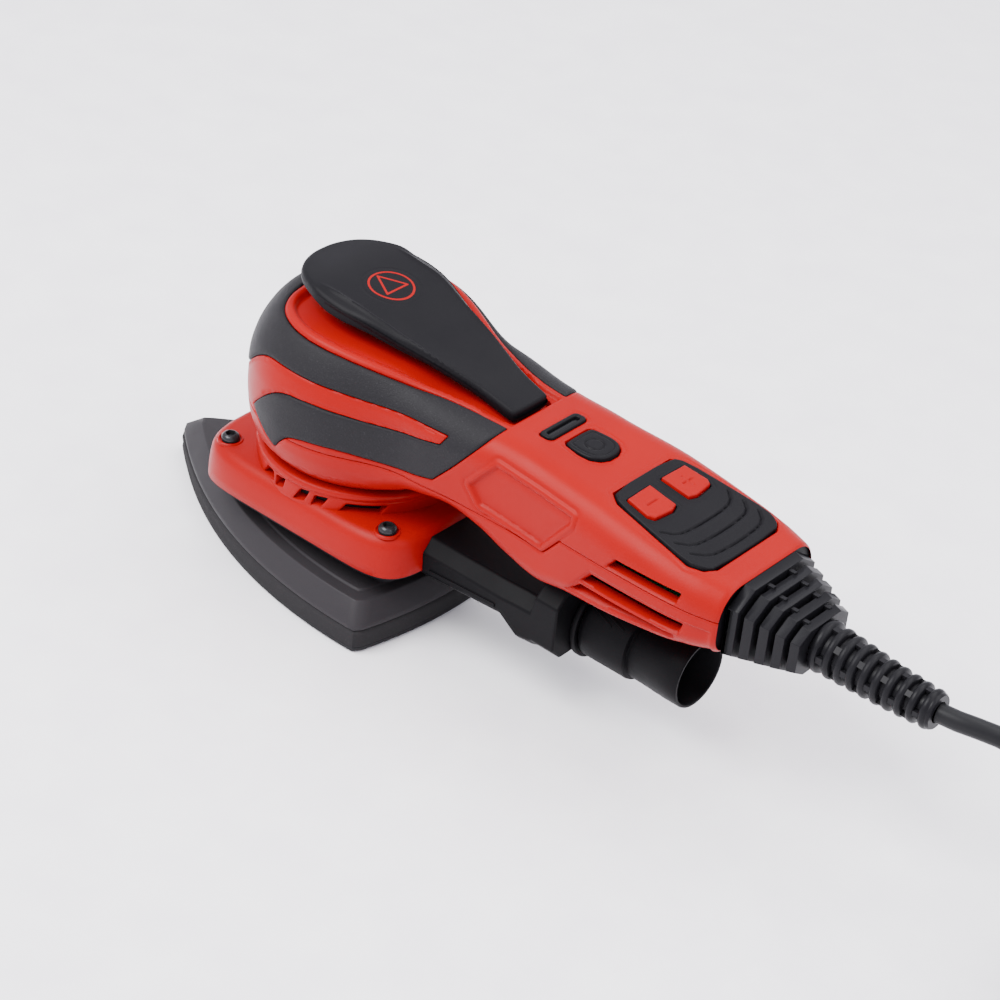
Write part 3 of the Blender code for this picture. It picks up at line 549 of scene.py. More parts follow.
def grip_outline():
    pts = GRIP_FOOT + GRIP_REAR[1:] + [(-79.5, 140), (80, 140), (80, 70), (45, 74)]
    pts += STRIPE_TOP + STRIPE_LOW[:-1]
    rear = len(GRIP_FOOT) - 1
    top = len(GRIP_FOOT) + len(GRIP_REAR) - 2
    tip = top + 5 + len(STRIPE_TOP) - 1
    corners = [0, 2, rear, top, top + 1, top + 2, top + 3, tip, tip + 1]
    return sharp_chain(pts, corners)


def rounded(x0, x1, half, r):
    """A rectangle from x0 to x1, half wide to each side, with corners of radius r."""
    out = []
    for cx, cy, start in ((x1 - r, half - r, 0), (x0 + r, half - r, 90), (x0 + r, r - half, 180),
                          (x1 - r, r - half, 270)):
        for k in range(7):
            a = math.radians(start + 15 * k)
            out.append((cx + r * math.cos(a), cy + r * math.sin(a)))
    return out


def parting(x):
    """Height of the joint between the upper and lower shells."""
    return np.interp(x, [-300, -117, -110, 80], [80.5, 80.5, 72.0, 72.0])


SIDE_SLOTS = [[(-168.5, 81.5), (-138, 81.5), (-141.5, 86.4), (-169.5, 86.4)],
              [(-170.5, 69.6), (-127.5, 69.6), (-132, 74.8), (-172, 74.8)],
              [(-167.5, 63.7), (-123.5, 63.7), (-127.5, 68.2), (-169, 68.2)]]


def build_shell():
    P, N = body_grid()
    rim = P[np.abs(P[:, 0, 0] + 179.5).argmin(), :, 1:]
    rim = rim.mean(axis=0) * 0.06 + rim * 0.94
    seat = [[(x, *p) for p in rim] for x in (-179.5, -183.0)]
    bevel(solid("guard_seat", loft(seat), "black"), 0.4)
    # a black wall inside the handle behind the side slots: painted shade for the shaded interior seen
    # through them, and it also stops the view through to the far side
    wall = prism([(-172, 63), (-124, 65), (-124, 88), (-172, 88)], -0.8, 0.8)
    bevel(solid("slot_shade_wall", wall, "black"), 0.3)
    quads = grid_faces(P.shape[:2])
    P, N = P.reshape(-1, 3), N.reshape(-1, 3)
    x, y, z = P[:, 0], P[:, 1], P[:, 2]
    side = polygon_distance(x, z, grip_outline())
    crown = polygon_distance(x, y, chaikin(mirrored(CROWN), 2))
    grip = np.maximum(side, -crown)
    hexa = polygon_distance(x, z, HEX)
    hexa = np.where(np.abs(y) > 15, hexa, 20)
    join = z - parting(x)
    lever = polygon_distance(x, y, grown(lever_outline(), 1.4))
    panel = polygon_distance(x, y, grown(PANEL, 0.4))
    power = polygon_distance(x, y, grown(POWER, 0.4))
    lamp = polygon_distance(x, y, rounded(-93.9, -87.5, 10.8, 2.3))
    up = z > 92
    slots = [np.where(np.abs(y) > 20, polygon_distance(x, z, o), 9) for o in SIDE_SLOTS]
    well = -1.0 * smooth_step(-np.minimum.reduce(slots), -0.1, 0.5)
    bay = polygon_distance(x, z, [(-121.7, 62.9), (-131.8, 76.2), (-182, 76.2), (-182, 62.9)])
    bay = -0.7 * smooth_step(-bay, -0.3, 0.5) * (np.abs(y) > 20)
    holes_top = np.where(up, np.minimum.reduce([panel, power, lamp]), 9)
    hex_drop = -1.3 * smooth_step(-hexa, -0.4, 0.4)
    ridge = 0.3 * np.exp(-((hexa - 1.5) / 0.6) ** 2) - 0.4 * np.exp(-((hexa - 2.8) / 0.45) ** 2)
    ring = np.where(up, np.minimum(panel, np.minimum(power, lamp + 0.6)), 9)
    lines = -0.3 * np.exp(-((ring - 1.5) / 0.3) ** 2)
    stripe = (z > 84) & (x > -58) & (side > 0)
    lines += np.where(stripe, -0.3 * np.exp(-((side - 1.2) / 0.3) ** 2), 0)
    tray = np.maximum(crown + 1.6 + 1.6 * smooth_step(x, -66, -30), -78.6 - x)
    tray = np.where(z > 98, -1.9 * smooth_step(-tray, 0, 1.5), 0)
    bead = np.where((z > 96) & (x > -66), 0.5 * np.exp(-((crown + 1.7) / 1.0) ** 2), 0)
    floor = lever_middle(x) - 3.6 - 0.05 * np.maximum(0, x + 71)
    dip = np.where((x < -20) & (lever < 0) & up, np.clip(floor - z - tray, -9, 0), 0)
    foot = np.where((np.hypot(x, y) < 50) & (x > -46), -1.0 * smooth_step(60.6 - z, 0, 0.5)
                    - 0.8 * smooth_step(57.6 - z, 0, 0.4), 0)
    extra = hex_drop + ridge + lines + tray + bead + dip + well + bay + foot
    base = P + N * extra[:, None]

    red = np.maximum(-grip + 0.12, -9.0)
    gills = np.minimum.reduce(slots) + 0.45
    upper = np.maximum.reduce([red, -join + 0.12, -holes_top, -gills])
    lower = np.maximum.reduce([red, join + 0.12, 54.3 - z, -gills])
    clipped_piece("upper_shell", base, N, quads, upper, rolled(0.7, 0.4), "red", 3.2, ["housing_upper"])
    clipped_piece("lower_shell", base, N, quads, lower, rolled(0.7, 0.4), "red", 3.2, ["housing_lower"])
    clipped_piece("soft_grip", P, N, quads, grip + 0.12, lambda s, p: 0.35 + roll(s, 1.3, 0.75),
                  "grip", 1.8, ["grip_cover"])


def lever_outline():
    return chaikin(mirrored(LEVER), 3)


def groove(d, depth, width):
    return -depth * np.exp(-(d / width) ** 2)


def sheet(name, area, step, level, dist, lift, key, depth, replaces=(), body="housing", down=False):
    """A trimmed height surface over x and y with turned-in edges."""
    step = step / FINE
    X, Y = np.meshgrid(np.arange(area[0], area[1] + step, step),
                       np.arange(area[2], area[3] + step, step), indexing="ij")
    n, m = X.shape
    Z = level(X, Y)
    P = np.stack([X, Y, Z], -1).reshape(-1, 3)
    slope = (level(X + 0.1, Y) - level(X - 0.1, Y)) / 0.2
    N = np.stack([-slope, 0 * X, np.ones_like(X)], -1).reshape(-1, 3)
    N /= np.linalg.norm(N, axis=1, keepdims=True)
    i, j = np.meshgrid(np.arange(n - 1), np.arange(m - 1), indexing="ij")
    quads = np.stack([i * m + j, (i + 1) * m + j, (i + 1) * m + j + 1, i * m + j + 1],
                     -1).reshape(-1, 4)
    if down:
        N, quads = -N, quads[:, ::-1]
    s = dist(P[:, 0], P[:, 1])
    clipped_piece(name, P, N, quads, s, lambda d, p: lift(d, p[:, 0], p[:, 1]), key, depth,
                  replaces, body)


def panel_level(offset):
    return lambda x, y: 100.3 + 0.1505 * (x + 127.5) + offset


# ---- lever
MARK_X, MARK_Y = -6.5, 0.5
LEVER_PIN = (-71.0, 96.0)
ridge_line = curve([(-60, 11.2), (-50, 13.6), (-40, 15.4), (-26, 17.6), (-12, 20.0), (-1, 20.4),
                    (8, 20.6)])


def lever_top(x, y):
    fade = 1 - smooth_step(x, 1, 12)
    flank = np.maximum(0, np.abs(y) - ridge_line(x)) * 0.42 * fade * smooth_step(x, -62, -52)
    rise = 0.45 * np.exp(-((np.abs(y) - ridge_line(x) + 0.4) / 0.6) ** 2) * fade
    return lever_middle(x) + 2.8 - 0.0009 * y * y - flank + rise * smooth_step(x, -62, -52)


def build_lever():
    area, dist = (-77, 30, -26, 26), within(lever_outline())

    def lift(s, x, y):
        return roll(s, 1.7, 1.7) + groove(np.hypot(x - MARK_X, y - MARK_Y) - 11.0, 0.10, 0.35)

    def under(s, x, y):
        rib = np.minimum(np.abs(np.abs(y) - 7.0), np.abs(s + 4.5))
        return roll(s, 1.2, 1.2) + 0.5 * np.exp(-(rib / 0.8) ** 2) * (s < -3)

    sheet("lever_top", area, 0.5, lever_top, dist, lift, "black", 2.4, ["paddle_lever"], "lever")
    sheet("lever_under", area, 1.0, lambda x, y: lever_middle(x) - 2.2 + 0 * y, dist, under,
          "black", 1.3, (), "lever", True)
    lug = [(LEVER_PIN[0] + dx, LEVER_PIN[1] + dz) for dx, dz in
           ((-3.4, 5), (-3.4, -1.4), (-1.5, -3), (1.5, -3), (3.4, -1.4), (3.4, 6))]
    bevel(solid("lever_lug", prism(lug, -4.5, 4.5), "black", "lever"), 0.5)

    def mark(x, y):
        u, v = x - MARK_X, y - MARK_Y
        tri = [(7.0, 0), (-3.0, 5.4), (-3.0, -5.4), (7.0, 0)]
        return np.minimum(np.abs(np.hypot(u, v) - 8.4) - 0.42, line_distance(u, v, tri) - 0.42)
    sheet("lever_mark", (-17, 4, -10, 11), 0.22, lambda x, y: lever_top(x, y) + 0.03, mark,
          lambda s, x, y: 0 * s, "red_key", 0.12, (), "lever")


# ---- panel, keys, lamp
CHEVRONS = [[(-150.5, 19.0), (-155, 15.4), (-156.3, 7.0), (-156.4, -7.2), (-155.3, -15.2),
             (-150.5, -19.4)],
            [(-157.3, 19.1), (-161.8, 15.2), (-163.1, 6.2), (-163, -8.0), (-161.9, -16),
             (-157.3, -19.6)],
            [(-164, 18.9), (-168.6, 14.2), (-169.8, 5.7), (-169.7, -8.8), (-168.4, -16.3),
             (-163.8, -20.0)]]
KEY_X, KEY_Y = -139.6, 9.9
POWER_X = -105.2


def build_controls():
    outline = chaikin(PANEL, 1)
    keys = {"minus": KEY, "plus": [(x, -y) for x, y in reversed(KEY)]}
    pockets = [grown(o, 0.35) for o in keys.values()]
    lines = [chaikin(c, 1, False) for c in CHEVRONS]

    def dist(x, y):
        return np.maximum.reduce([polygon_distance(x, y, outline)]
                                 + [-polygon_distance(x, y, p) for p in pockets])

    def lift(s, x, y):
        out = roll(s, 0.7, 0.5)
        for c in lines:
            out = out + groove(line_distance(x, y, c), 0.8, 0.42)
        for p in pockets:
            out = out + groove(polygon_distance(x, y, p) - 1.3, 0.16, 0.3)
        return out

    sheet("panel_face", (-175, -126, -24, 24), 0.4, panel_level(0.2), dist, lift, "black", 2.6,
          ["control_panel"])

    for name, key in keys.items():
        side = 1 if name == "minus" else -1

        def press(s, x, y):
            """The rounded cap with its round hollow and the sign cut into it."""
            u, v = x - KEY_X, y - side * KEY_Y
            d = line_distance(u, v, [(0, -2.6), (0, 2.6)])
            if name == "plus":
                d = np.minimum(d, line_distance(u, v, [(-2.6, 0), (2.6, 0)]))
            return (roll(s, 0.9, 0.6) - 0.5 * np.exp(-(d / 0.4) ** 4) - 0.05 * (u ** 2 + v ** 2 < 40))
        area = (-147, -132, *sorted((side * 2, side * 18)))
        sheet(name + "_cap", area, 0.3, panel_level(1.1), within(key), press, "red_key", 4.5,
              [name + "_button"], name + "_key")
    sheet("power_cap", (-115, -96, -9, 9), 0.3, flat(102.0), within(chaikin(POWER, 2)),
          lambda s, x, y: roll(s, 1.1, 0.8) + groove(s + 1.9, 0.3, 0.3)
          + groove(np.hypot(x - POWER_X, y) - 3.4, 0.5, 0.4), "black", 4.0,
          ["power_button"], "power_key")
    bezel, glass = rounded(-93.6, -87.8, 10.4, 2.1), rounded(-92.0, -89.4, 8.4, 1.2)
    sheet("lamp_bezel", (-94.5, -87, -11, 11), 0.3, flat(102.75),
          lambda x, y: np.maximum(polygon_distance(x, y, bezel), -polygon_distance(x, y, glass)),
          rolled(0.6, 0.4), "black", 2.0, ["lamp_frame"])
    sheet("lamp_glass", (-93, -88.5, -9, 9), 0.3, flat(101.7), within(grown(glass, -0.1)),
          rolled(0.8, 0.3), "lens", 0.8, ["lamp_lens"])


# ---- skirt and collar
def build_skirt():
    sides = int(176 * FINE)

    def outline(a, b):
        return super_outline(a, b, 5.0, sides)

    def arched(rows):
        return [[(x, y, z + w * h) for (x, y), h in zip(outline(a, b), arch)] for a, b, z, w in rows]

    base = outline(1, 1)
    arch = np.array([1 - min(1.0, (abs(x) * abs(y)) ** 4 * 1.5) for x, y in base]) * 3.0
    wall = [(51.0, 40.7, 29.4, 1), (51.2, 40.9, 27.9, 1), (52.6, 42.3, 27.6, 1), (53.3, 43.0, 28.3, 1),
            (53.2, 42.9, 33, 0.6), (52.9, 42.5, 38, 0.2), (52.5, 42.0, 41.6, 0), (52.0, 41.4, 43.2, 0),
            (51.0, 40.4, 44.6, 0), (49.6, 39.0, 45.6, 0), (48.2, 37.6, 45.95, 0)]
    rings = arched(wall)
    for r, z in ((34.0, 46.0), (33.5, 43.0)):
        rings.append([(r * x / math.hypot(x, y), r * y / math.hypot(x, y), z) for x, y in base])
    rings += arched([(49, 38.6, 42.4, 0), (50.2, 39.8, 41, 0), wall[0]])
    solid("skirt_shell", loft(rings, False), "red", replaces=["skirt"], sharp=50)
    seal = [(48.8, 38.5, 25.1, 0.9), (50.0, 39.7, 25.0, 0.9), (50.6, 40.3, 25.5, 0.9),
            (50.6, 40.3, 26.2, 0.95), (50.2, 39.9, 27.3, 1), (50.2, 39.9, 29.0, 1), (48.8, 38.5, 29.0, 1)]
    rings = arched(seal + seal[:1])
    solid("skirt_lip", loft(rings, False), "rubber", replaces=["skirt_seal"], sharp=60)


def build_collar():
    """The windowed collar above the skirt, and a black ring behind its windows: painted shade for the
    shaded inside of the collar.
    """
    m = int(420 * FINE)
    zs = np.concatenate([np.linspace(43.6, 52.4, int(24 * FINE)), np.linspace(52.7, 54.4, 6),
                         np.linspace(54.5, 54.9, 5)])
    profile = curve([(43.6, 41.4), (50.2, 41.4), (51.2, 41.2), (52.2, 41.9), (53.6, 41.7), (54.4, 40.6),
                     (54.7, 38.6), (54.9, 36.4)])
    A, Z = np.meshgrid(2 * np.pi * np.arange(m) / m, zs)
    R = profile(Z)
    P = np.stack([R * np.cos(A), R * np.sin(A), Z], -1)
    N = np.stack([np.cos(A), np.sin(A), 0 * A], -1)
    quads = grid_faces(P.shape[:2])
    P, N = P.reshape(-1, 3), N.reshape(-1, 3)
    cuts = [np.where(np.abs(P[:, 1]) > 18, polygon_distance(P[:, 0], P[:, 2], w), 9) for w in WINDOWS]
    s = -np.minimum.reduce(cuts)
    clipped_piece("skirt_collar", P, N, quads, s, rolled(0.5, 0.25), "red", 3.4)
    # a black ring just behind the windows: painted shade for the shaded space inside the collar
    solid("window_shade_ring", turned(band(36.6, 37.6, 42.2, 53.4), 72), "black")


def build_skirt_screws():
    n = 36
    for k, (sx, sy) in enumerate([(1, 1), (1, -1), (-1, 1), (-1, -1)], 1):
        cx, cy = sx * 40.7, sy * 32.0
        hexa = [1.75 / max(abs(math.cos(2 * math.pi * i / n - q * math.pi / 3))
                           for q in range(3)) for i in range(n)]
        rings = [[(cx + x, cy + y, z) for x, y in circle(r, n)] for r, z in
                 ((3.5, 45.6), (3.6, 46.6), (3.45, 47.5), (2.9, 48.2), (2.2, 48.6))]
        for z, f in ((48.65, 1.04), (48.45, 1.0), (46.9, 1.0)):
            rings.append([(cx + f * h * math.cos(2 * math.pi * i / n),
                           cy + f * h * math.sin(2 * math.pi * i / n), z) for i, h in enumerate(hexa)])
        solid("socket_screw_%d" % k, loft(rings), "screw", replaces=["skirt_screw_%d" % k])
        rings = [[(cx + x, cy + y, z) for x, y in circle(5.0 * f, 40)]
                 for f, z in ((1.04, 45.2), (1.0, 46.1), (0.93, 46.35), (0.84, 46.3), (0.78, 45.7))]
        solid("screw_seat_%d" % k, loft(rings), "red")


def build_legs():
    """Bellows boots over the four rubber legs."""
    profile = [(0.2, 20.8), (5.2, 20.8), (5.2, 22.6), (4.4, 23.6), (3.4, 24.6), (3.6, 26), (4.3, 26.9),
               (4.3, 27.7)]
    for low in (28.6, 32.6):
        profile += [(3.5, low), (3.4, low + 1.4), (4.3, low + 2.3), (4.3, low + 3.1)]
    profile += [(3.5, 36.6), (3.5, 37.6), (4.6, 38.6), (5.2, 39.4), (5.2, 41.6), (0.2, 41.6)]
    for k, spot in enumerate([(38, 24), (38, -24), (-36, 26), (-36, -26)], 1):
        solid("leg_boot_%d" % k, turned(profile, 32, spot), "rubber", replaces=["rubber_leg_%d" % k])


# ---- pad
HOLES = [(62, 0), (18, 31), (18, -31), (-18, 34), (-18, -34), (-38, 0)]
HOLE_RADIUS = 4.0
ORBIT = 1.5


def pad_outline(inset):
    steps = 26
    corners = [Vector((99.3, 0)), Vector((-44.4, 50)), Vector((-44.4, -50))]
    bulges, out = [15.0, 6.7, 15.0], []
    for i in range(3):
        a, b = corners[i], corners[(i + 1) % 3]
        side = b - a
        normal = Vector((side.y, -side.x)).normalized()
        for k in range(steps + 1):
            t = 0.03 + 0.94 * k / steps
            out.append(tuple(a + side * t + normal * 4 * bulges[i] * t * (1 - t)))
        out.append(tuple(b - side * 0.008 + normal * bulges[i] * 0.02))
    f = 1 - inset / 46.5
    return [(-6 + (x + 6) * f, y * f) for x, y in out]


def build_pad():
    def ring(inset, z):
        return [(x, y, min(z, 21.2 - (x - 84) * 0.677) if x > 84 else z) for x, y in pad_outline(inset)]
    rings = [ring(*p) for p in ((3, 9.6), (1.0, 9.6), (0.55, 9.8), (0.45, 10.2), (0.5, 11.4), (0.75, 11.9),
                                (4.7, 18.9), (5.0, 19.25), (5.5, 19.35), (9.4, 19.2), (9.7, 19.3),
                                (10.0, 19.9), (10.4, 20.0), (24, 20.0))]
    solid("pad_plate", loft(rings), "pad", "pad", ["pad_backing"], sharp=50)
    rings = [ring(*p) for p in ((1.2, 2.0), (0.3, 2.2), (0.1, 3.2), (0.3, 5.4), (0.0, 7.4), (0.2, 8.8),
                                (0.8, 9.4))]
    tubes = [turned([(HOLE_RADIUS, 1.2), (HOLE_RADIUS, 9.5)], 24, spot, closed=False) for spot in HOLES]
    mesh_object("pad_sponge", joined([loft(rings, False)] + tubes), "foam", "pad", ["pad_foam"])
    edge = pad_outline(0.6)

    def dist(x, y):
        d = polygon_distance(x, y, edge)
        for hx, hy in HOLES:
            d = np.maximum(d, HOLE_RADIUS - np.hypot(x - hx, y - hy))
        return d
    sheet("pad_hooks", (-53, 100, -53, 53), 1.0, flat(0.05), dist, rolled(0.6, 0.4), "hook", 1.3,
          ["hook_layer"], "pad", True)
    hub = turned(band(8.3, 12.0, 19.6, 26.8), 40, (ORBIT, 0))
    bevel(solid("pad_hub", hub, "pad", "pad"), 0.5)


# ---- dust outlet
SPOUT_AXIS = (0, 33)


def octagon(x, half, low, high, top, foot):
    """A ring of eight points; top and foot are how far their corners are cut in y and z."""
    (ty, tz), (fy, fz) = top, foot
    return [(x, half, low + fz), (x, half, high - tz), (x, half - ty, high), (x, ty - half, high),
            (x, -half, high - tz), (x, -half, low + fz), (x, fy - half, low), (x, half - fy, low)]


def build_outlet():
    spec = [(-51.5, 24.6, 28.0, 43.4, 5, 2), (-90, 24.8, 30.6, 43.6, 5, 2),
            (-98.4, 24.8, 24.8, 44.2, 5, 2), (-104.4, 24.8, 23.7, 44.4, 5, 4),
            (-105.6, 24.8, 23.6, 55.0, 8, 5), (-116, 24.8, 23.6, 55.0, 8, 5)]
    duct = loft([octagon(*q[:4], (q[4], q[4]), (q[5], q[5])) for q in spec])
    bevel(solid("duct_shell", duct, "dark", replaces=["dust_duct"], sharp=30), 0.7, 3, 12)
    for letter, side in (("a", 1), ("b", -1)):
        rib = prism([(-56, 31.2), (-88, 33.4), (-88, 35.0), (-56, 33.0)], side * 24.4, side * 25.3)
        bevel(solid("duct_rib_" + letter, rib, "dark"), 0.25, 2)
    ring = [(11.5, -116.0), (15.6, -116.0), (16.0, -116.4), (16.0, -117.7), (15.6, -118.2), (11.5, -118.2)]
    solid("spout_flange", turned(ring, 72, SPOUT_AXIS, "x"), "dark", replaces=["spout_ring"])
    body = [(10.6, -118.5), (13.9, -118.5), (14.5, -119.1), (14.6, -121), (14.6, -138.2), (14.3, -139.2),
            (13.4, -139.5), (12.9, -139.7), (12.9, -140.9), (13.2, -141.2), (13.2, -146.6),
            (13.35, -146.8), (13.4, -150.8), (13.55, -151.0), (13.6, -154.8), (13.7, -155.0),
            (13.75, -162.5), (13.5, -163.1), (12.7, -163.1), (12.3, -162.4), (12.2, -124), (10.6, -122)]
    solid("spout_tube", turned(body, 96, SPOUT_AXIS, "x"), "dark", "spout", ["dust_spout"], sharp=45)
    for k, (a0, a1, x0, x1) in enumerate([(112, 96, -121.5, -136), (104, 92, -121.5, -131),
                                          (120, 112, -124, -136.5)], 1):
        rings = []
        for i in range(11):
            t = i / 10
            x, middle = x0 + (x1 - x0) * t, math.radians(a0 + (a1 - a0) * t - 55)
            corners = [(r, middle + w / 14.6) for r, w in
                       ((14.4, -0.35), (14.95, -0.2), (14.95, 0.2), (14.4, 0.35))]
            rings.append([(x, r * math.cos(a), SPOUT_AXIS[1] + r * math.sin(a)) for r, a in corners])
        solid("spout_line_%d" % k, loft(rings), "dark", "spout")


# ---- cord guard
def plate_ring(x, half, tall, mid):
    cut = half * 0.38, tall * 0.38
    return octagon(x, half, mid - tall, mid + tall, cut, cut)


def build_plates():
    """The guard's five plates, joined by a narrower neck and four small ties between each two."""
    plates = [(-184.3, -188.3, 23, 15.3, 75.7), (-190.2, -193.7, 21, 13.9, 75.0),
              (-195.6, -199.0, 19.2, 12.6, 74.3), (-200.9, -204.2, 17.2, 11.2, 73.6),
              (-206.0, -209.3, 15.2, 9.8, 73.0)]
    parts, taper = [], 0.8
    for x0, x1, half, tall, mid in plates:
        parts.append(loft([plate_ring(x0, half, tall, mid), plate_ring(x0 - 0.1, half, tall, mid),
                           plate_ring(x1, half - taper, tall - taper, mid)]))
    for (_, x1, half, tall, mid), (nx, _, nh, nt, nm) in zip(plates, plates[1:]):
        parts.append(loft([plate_ring(x1 + 1, half - 6, tall - 4.2, mid),
                           plate_ring(nx - 1, nh - 5.4, nt - 3.8, nm)]))
        for y in (-6.2, 6.2):
            for s in (1, -1):
                low, high = sorted((mid + s * (tall - 4.6), mid + s * (tall - 1.5)))
                parts.append(prism(band(x1 + 0.8, nx - 0.8, low, high), y - 0.8, y + 0.8))
    bevel(solid("guard_plates", joined(parts), "gloss", replaces=["cord_guard"], sharp=35), 0.45, 2, 25)


def build_sleeve():
    """The ribbed sleeve behind the plates, with four ties across each of its nine grooves."""
    axis = curve([(-257.4, 71.1), (-245, 71.1), (-211, 72.6)])
    radius = curve([(-257.4, 7.0), (-235, 8.2), (-211, 9.5)])

    def at(x, r, a):
        return x, r * math.cos(a), float(axis(x)) + r * math.sin(a)

    sides, profile, ties = 56, [(-209.0, 8.2), (-210.4, 9.6), (-212.0, 9.8), (-212.8, 9.4)], []
    start, pitch = -213.4, 4.75
    for k in range(9):
        x0 = start - k * pitch
        r = float(radius(x0))
        profile += [(x0 - dx, r + dr) for dx, dr in
                    ((0.1, -2.2), (1.9, -2.2), (2.0, -0.5), (2.5, -0.05), (3.3, 0.1), (4.1, -0.1),
                     (4.6, -0.6))]
        for q in range(4):
            a = math.radians(90 * q + (45 if k % 2 else 0))
            ties.append(loft([[at(x, r + dr, a + w / 9) for dr, w in
                               ((-2.6, -1.3), (-2.6, 1.3), (-0.35, 1.3), (-0.35, -1.3))]
                              for x in (x0 + 0.6, x0 - 2.6)]))
    profile += [(-256.6, 6.8), (-257.4, 6.3), (-257.4, 4.0), (-252, 3.95)]
    rings = [[at(x, r, 2 * math.pi * i / sides) for i in range(sides)] for x, r in profile]
    solid("guard_sleeve", joined([loft(rings, False)] + ties), "gloss", sharp=45)


# ---- cord and plug
ROUTE = [(-257.4, 0, 71.1), (-261, 0, 71.1), (-271, -3.2, 70.6), (-282, -9.4, 67.2), (-293, -16.5, 59.8),
         (-304, -24, 49.4), (-315, -31, 36.8), (-325, -36, 24.8), (-335, -38.6, 14.6), (-345.8, -39, 7.2),
         (-354, -39, 4.6), (-363, -39, 3.85), (-374, -39, 3.85)]
COIL = (-374.0, 6.0)
CORD_RADIUS = 3.65
TAIL = [(-336.0, -13.3, 33.6), (-344, -20, 34.8), (-351.2, -23, 35.9), (-359, -24, 37.0),
        (-363.5, -24, 37.7), (-372, -24, 38.1)]


def smooth_route(points):
    """Points 7 mm apart along a spline through the given ones."""
    step, pts = 7.0, [Vector(p) for p in points]
    pts = [pts[0] * 2 - pts[1]] + pts + [pts[-1] * 2 - pts[-2]]
    fine = []
    for i in range(1, len(pts) - 2):
        a, b, c, d = pts[i - 1], pts[i], pts[i + 1], pts[i + 2]
        for k in range(24):
            t = k / 24
            fine.append(0.5 * (2 * b + (c - a) * t + (2 * a - 5 * b + 4 * c - d) * t * t
                               + (3 * b - 3 * c + d - a) * t ** 3))
    fine.append(pts[-2])
    run = np.cumsum([0.0] + [(b - a).length for a, b in zip(fine, fine[1:])])
    count = max(3, int(run[-1] / step))
    out = []
    for k in range(count + 1):
        at = float(run[-1]) * k / count
        i = min(len(fine) - 2, max(0, int(np.searchsorted(run, at)) - 1))
        share = (at - run[i]) / max(1e-9, run[i + 1] - run[i])
        out.append(fine[i].lerp(fine[i + 1], float(share)))
    return [tuple(p) for p in out]


def coil_points():
    """Four layers of clockwise turns, a cord's width apart, out to the plug's tail."""
    pitch, outer = 2 * CORD_RADIUS, 45.0
    radii = [outer, outer - pitch, outer - 2 * pitch]
    moves = []
    for layer in range(4):
        row = radii if layer % 2 == 0 else radii[::-1]
        for k, r in enumerate(row):
            moves.append((r, r, 0.0, 270.0 if k else (230.0 if layer == 0 else 180.0)))
            if k < 2:
                moves.append((r, row[k + 1], 0.0, 90.0))
            elif layer < 3:
                moves.append((r, r, pitch, 90.0))
    moves.pop()
    rest = (270.0 - sum(q[3] for q in moves)) % 360
    moves.append((outer, outer, 0.0, (rest - 100) % 360))
    moves.append((outer, outer, 5.2, 100.0))
    out, angle, z = [], 270.0, 3.85
    for r0, r1, dz, sweep in moves:
        count = max(2, int(round(sweep / 12)))
        for k in range(count):
            t = k / count
            up = math.sin(t * math.pi / 2) if sweep < 95 else t * t * (2 - t)
            r = r1 + (r0 - r1) * math.cos(t * math.pi / 2)
            a = math.radians(angle - sweep * t)
            out.append((COIL[0] + r * math.cos(a), COIL[1] + r * math.sin(a), z + dz * up))
        angle, z = angle - sweep, z + dz
    for k in range(4):
        a = math.radians(10 * k)
        out.append((-359 + 30 * math.cos(a), 6 - 30 * math.sin(a), z + 0.75 * k))
    return out


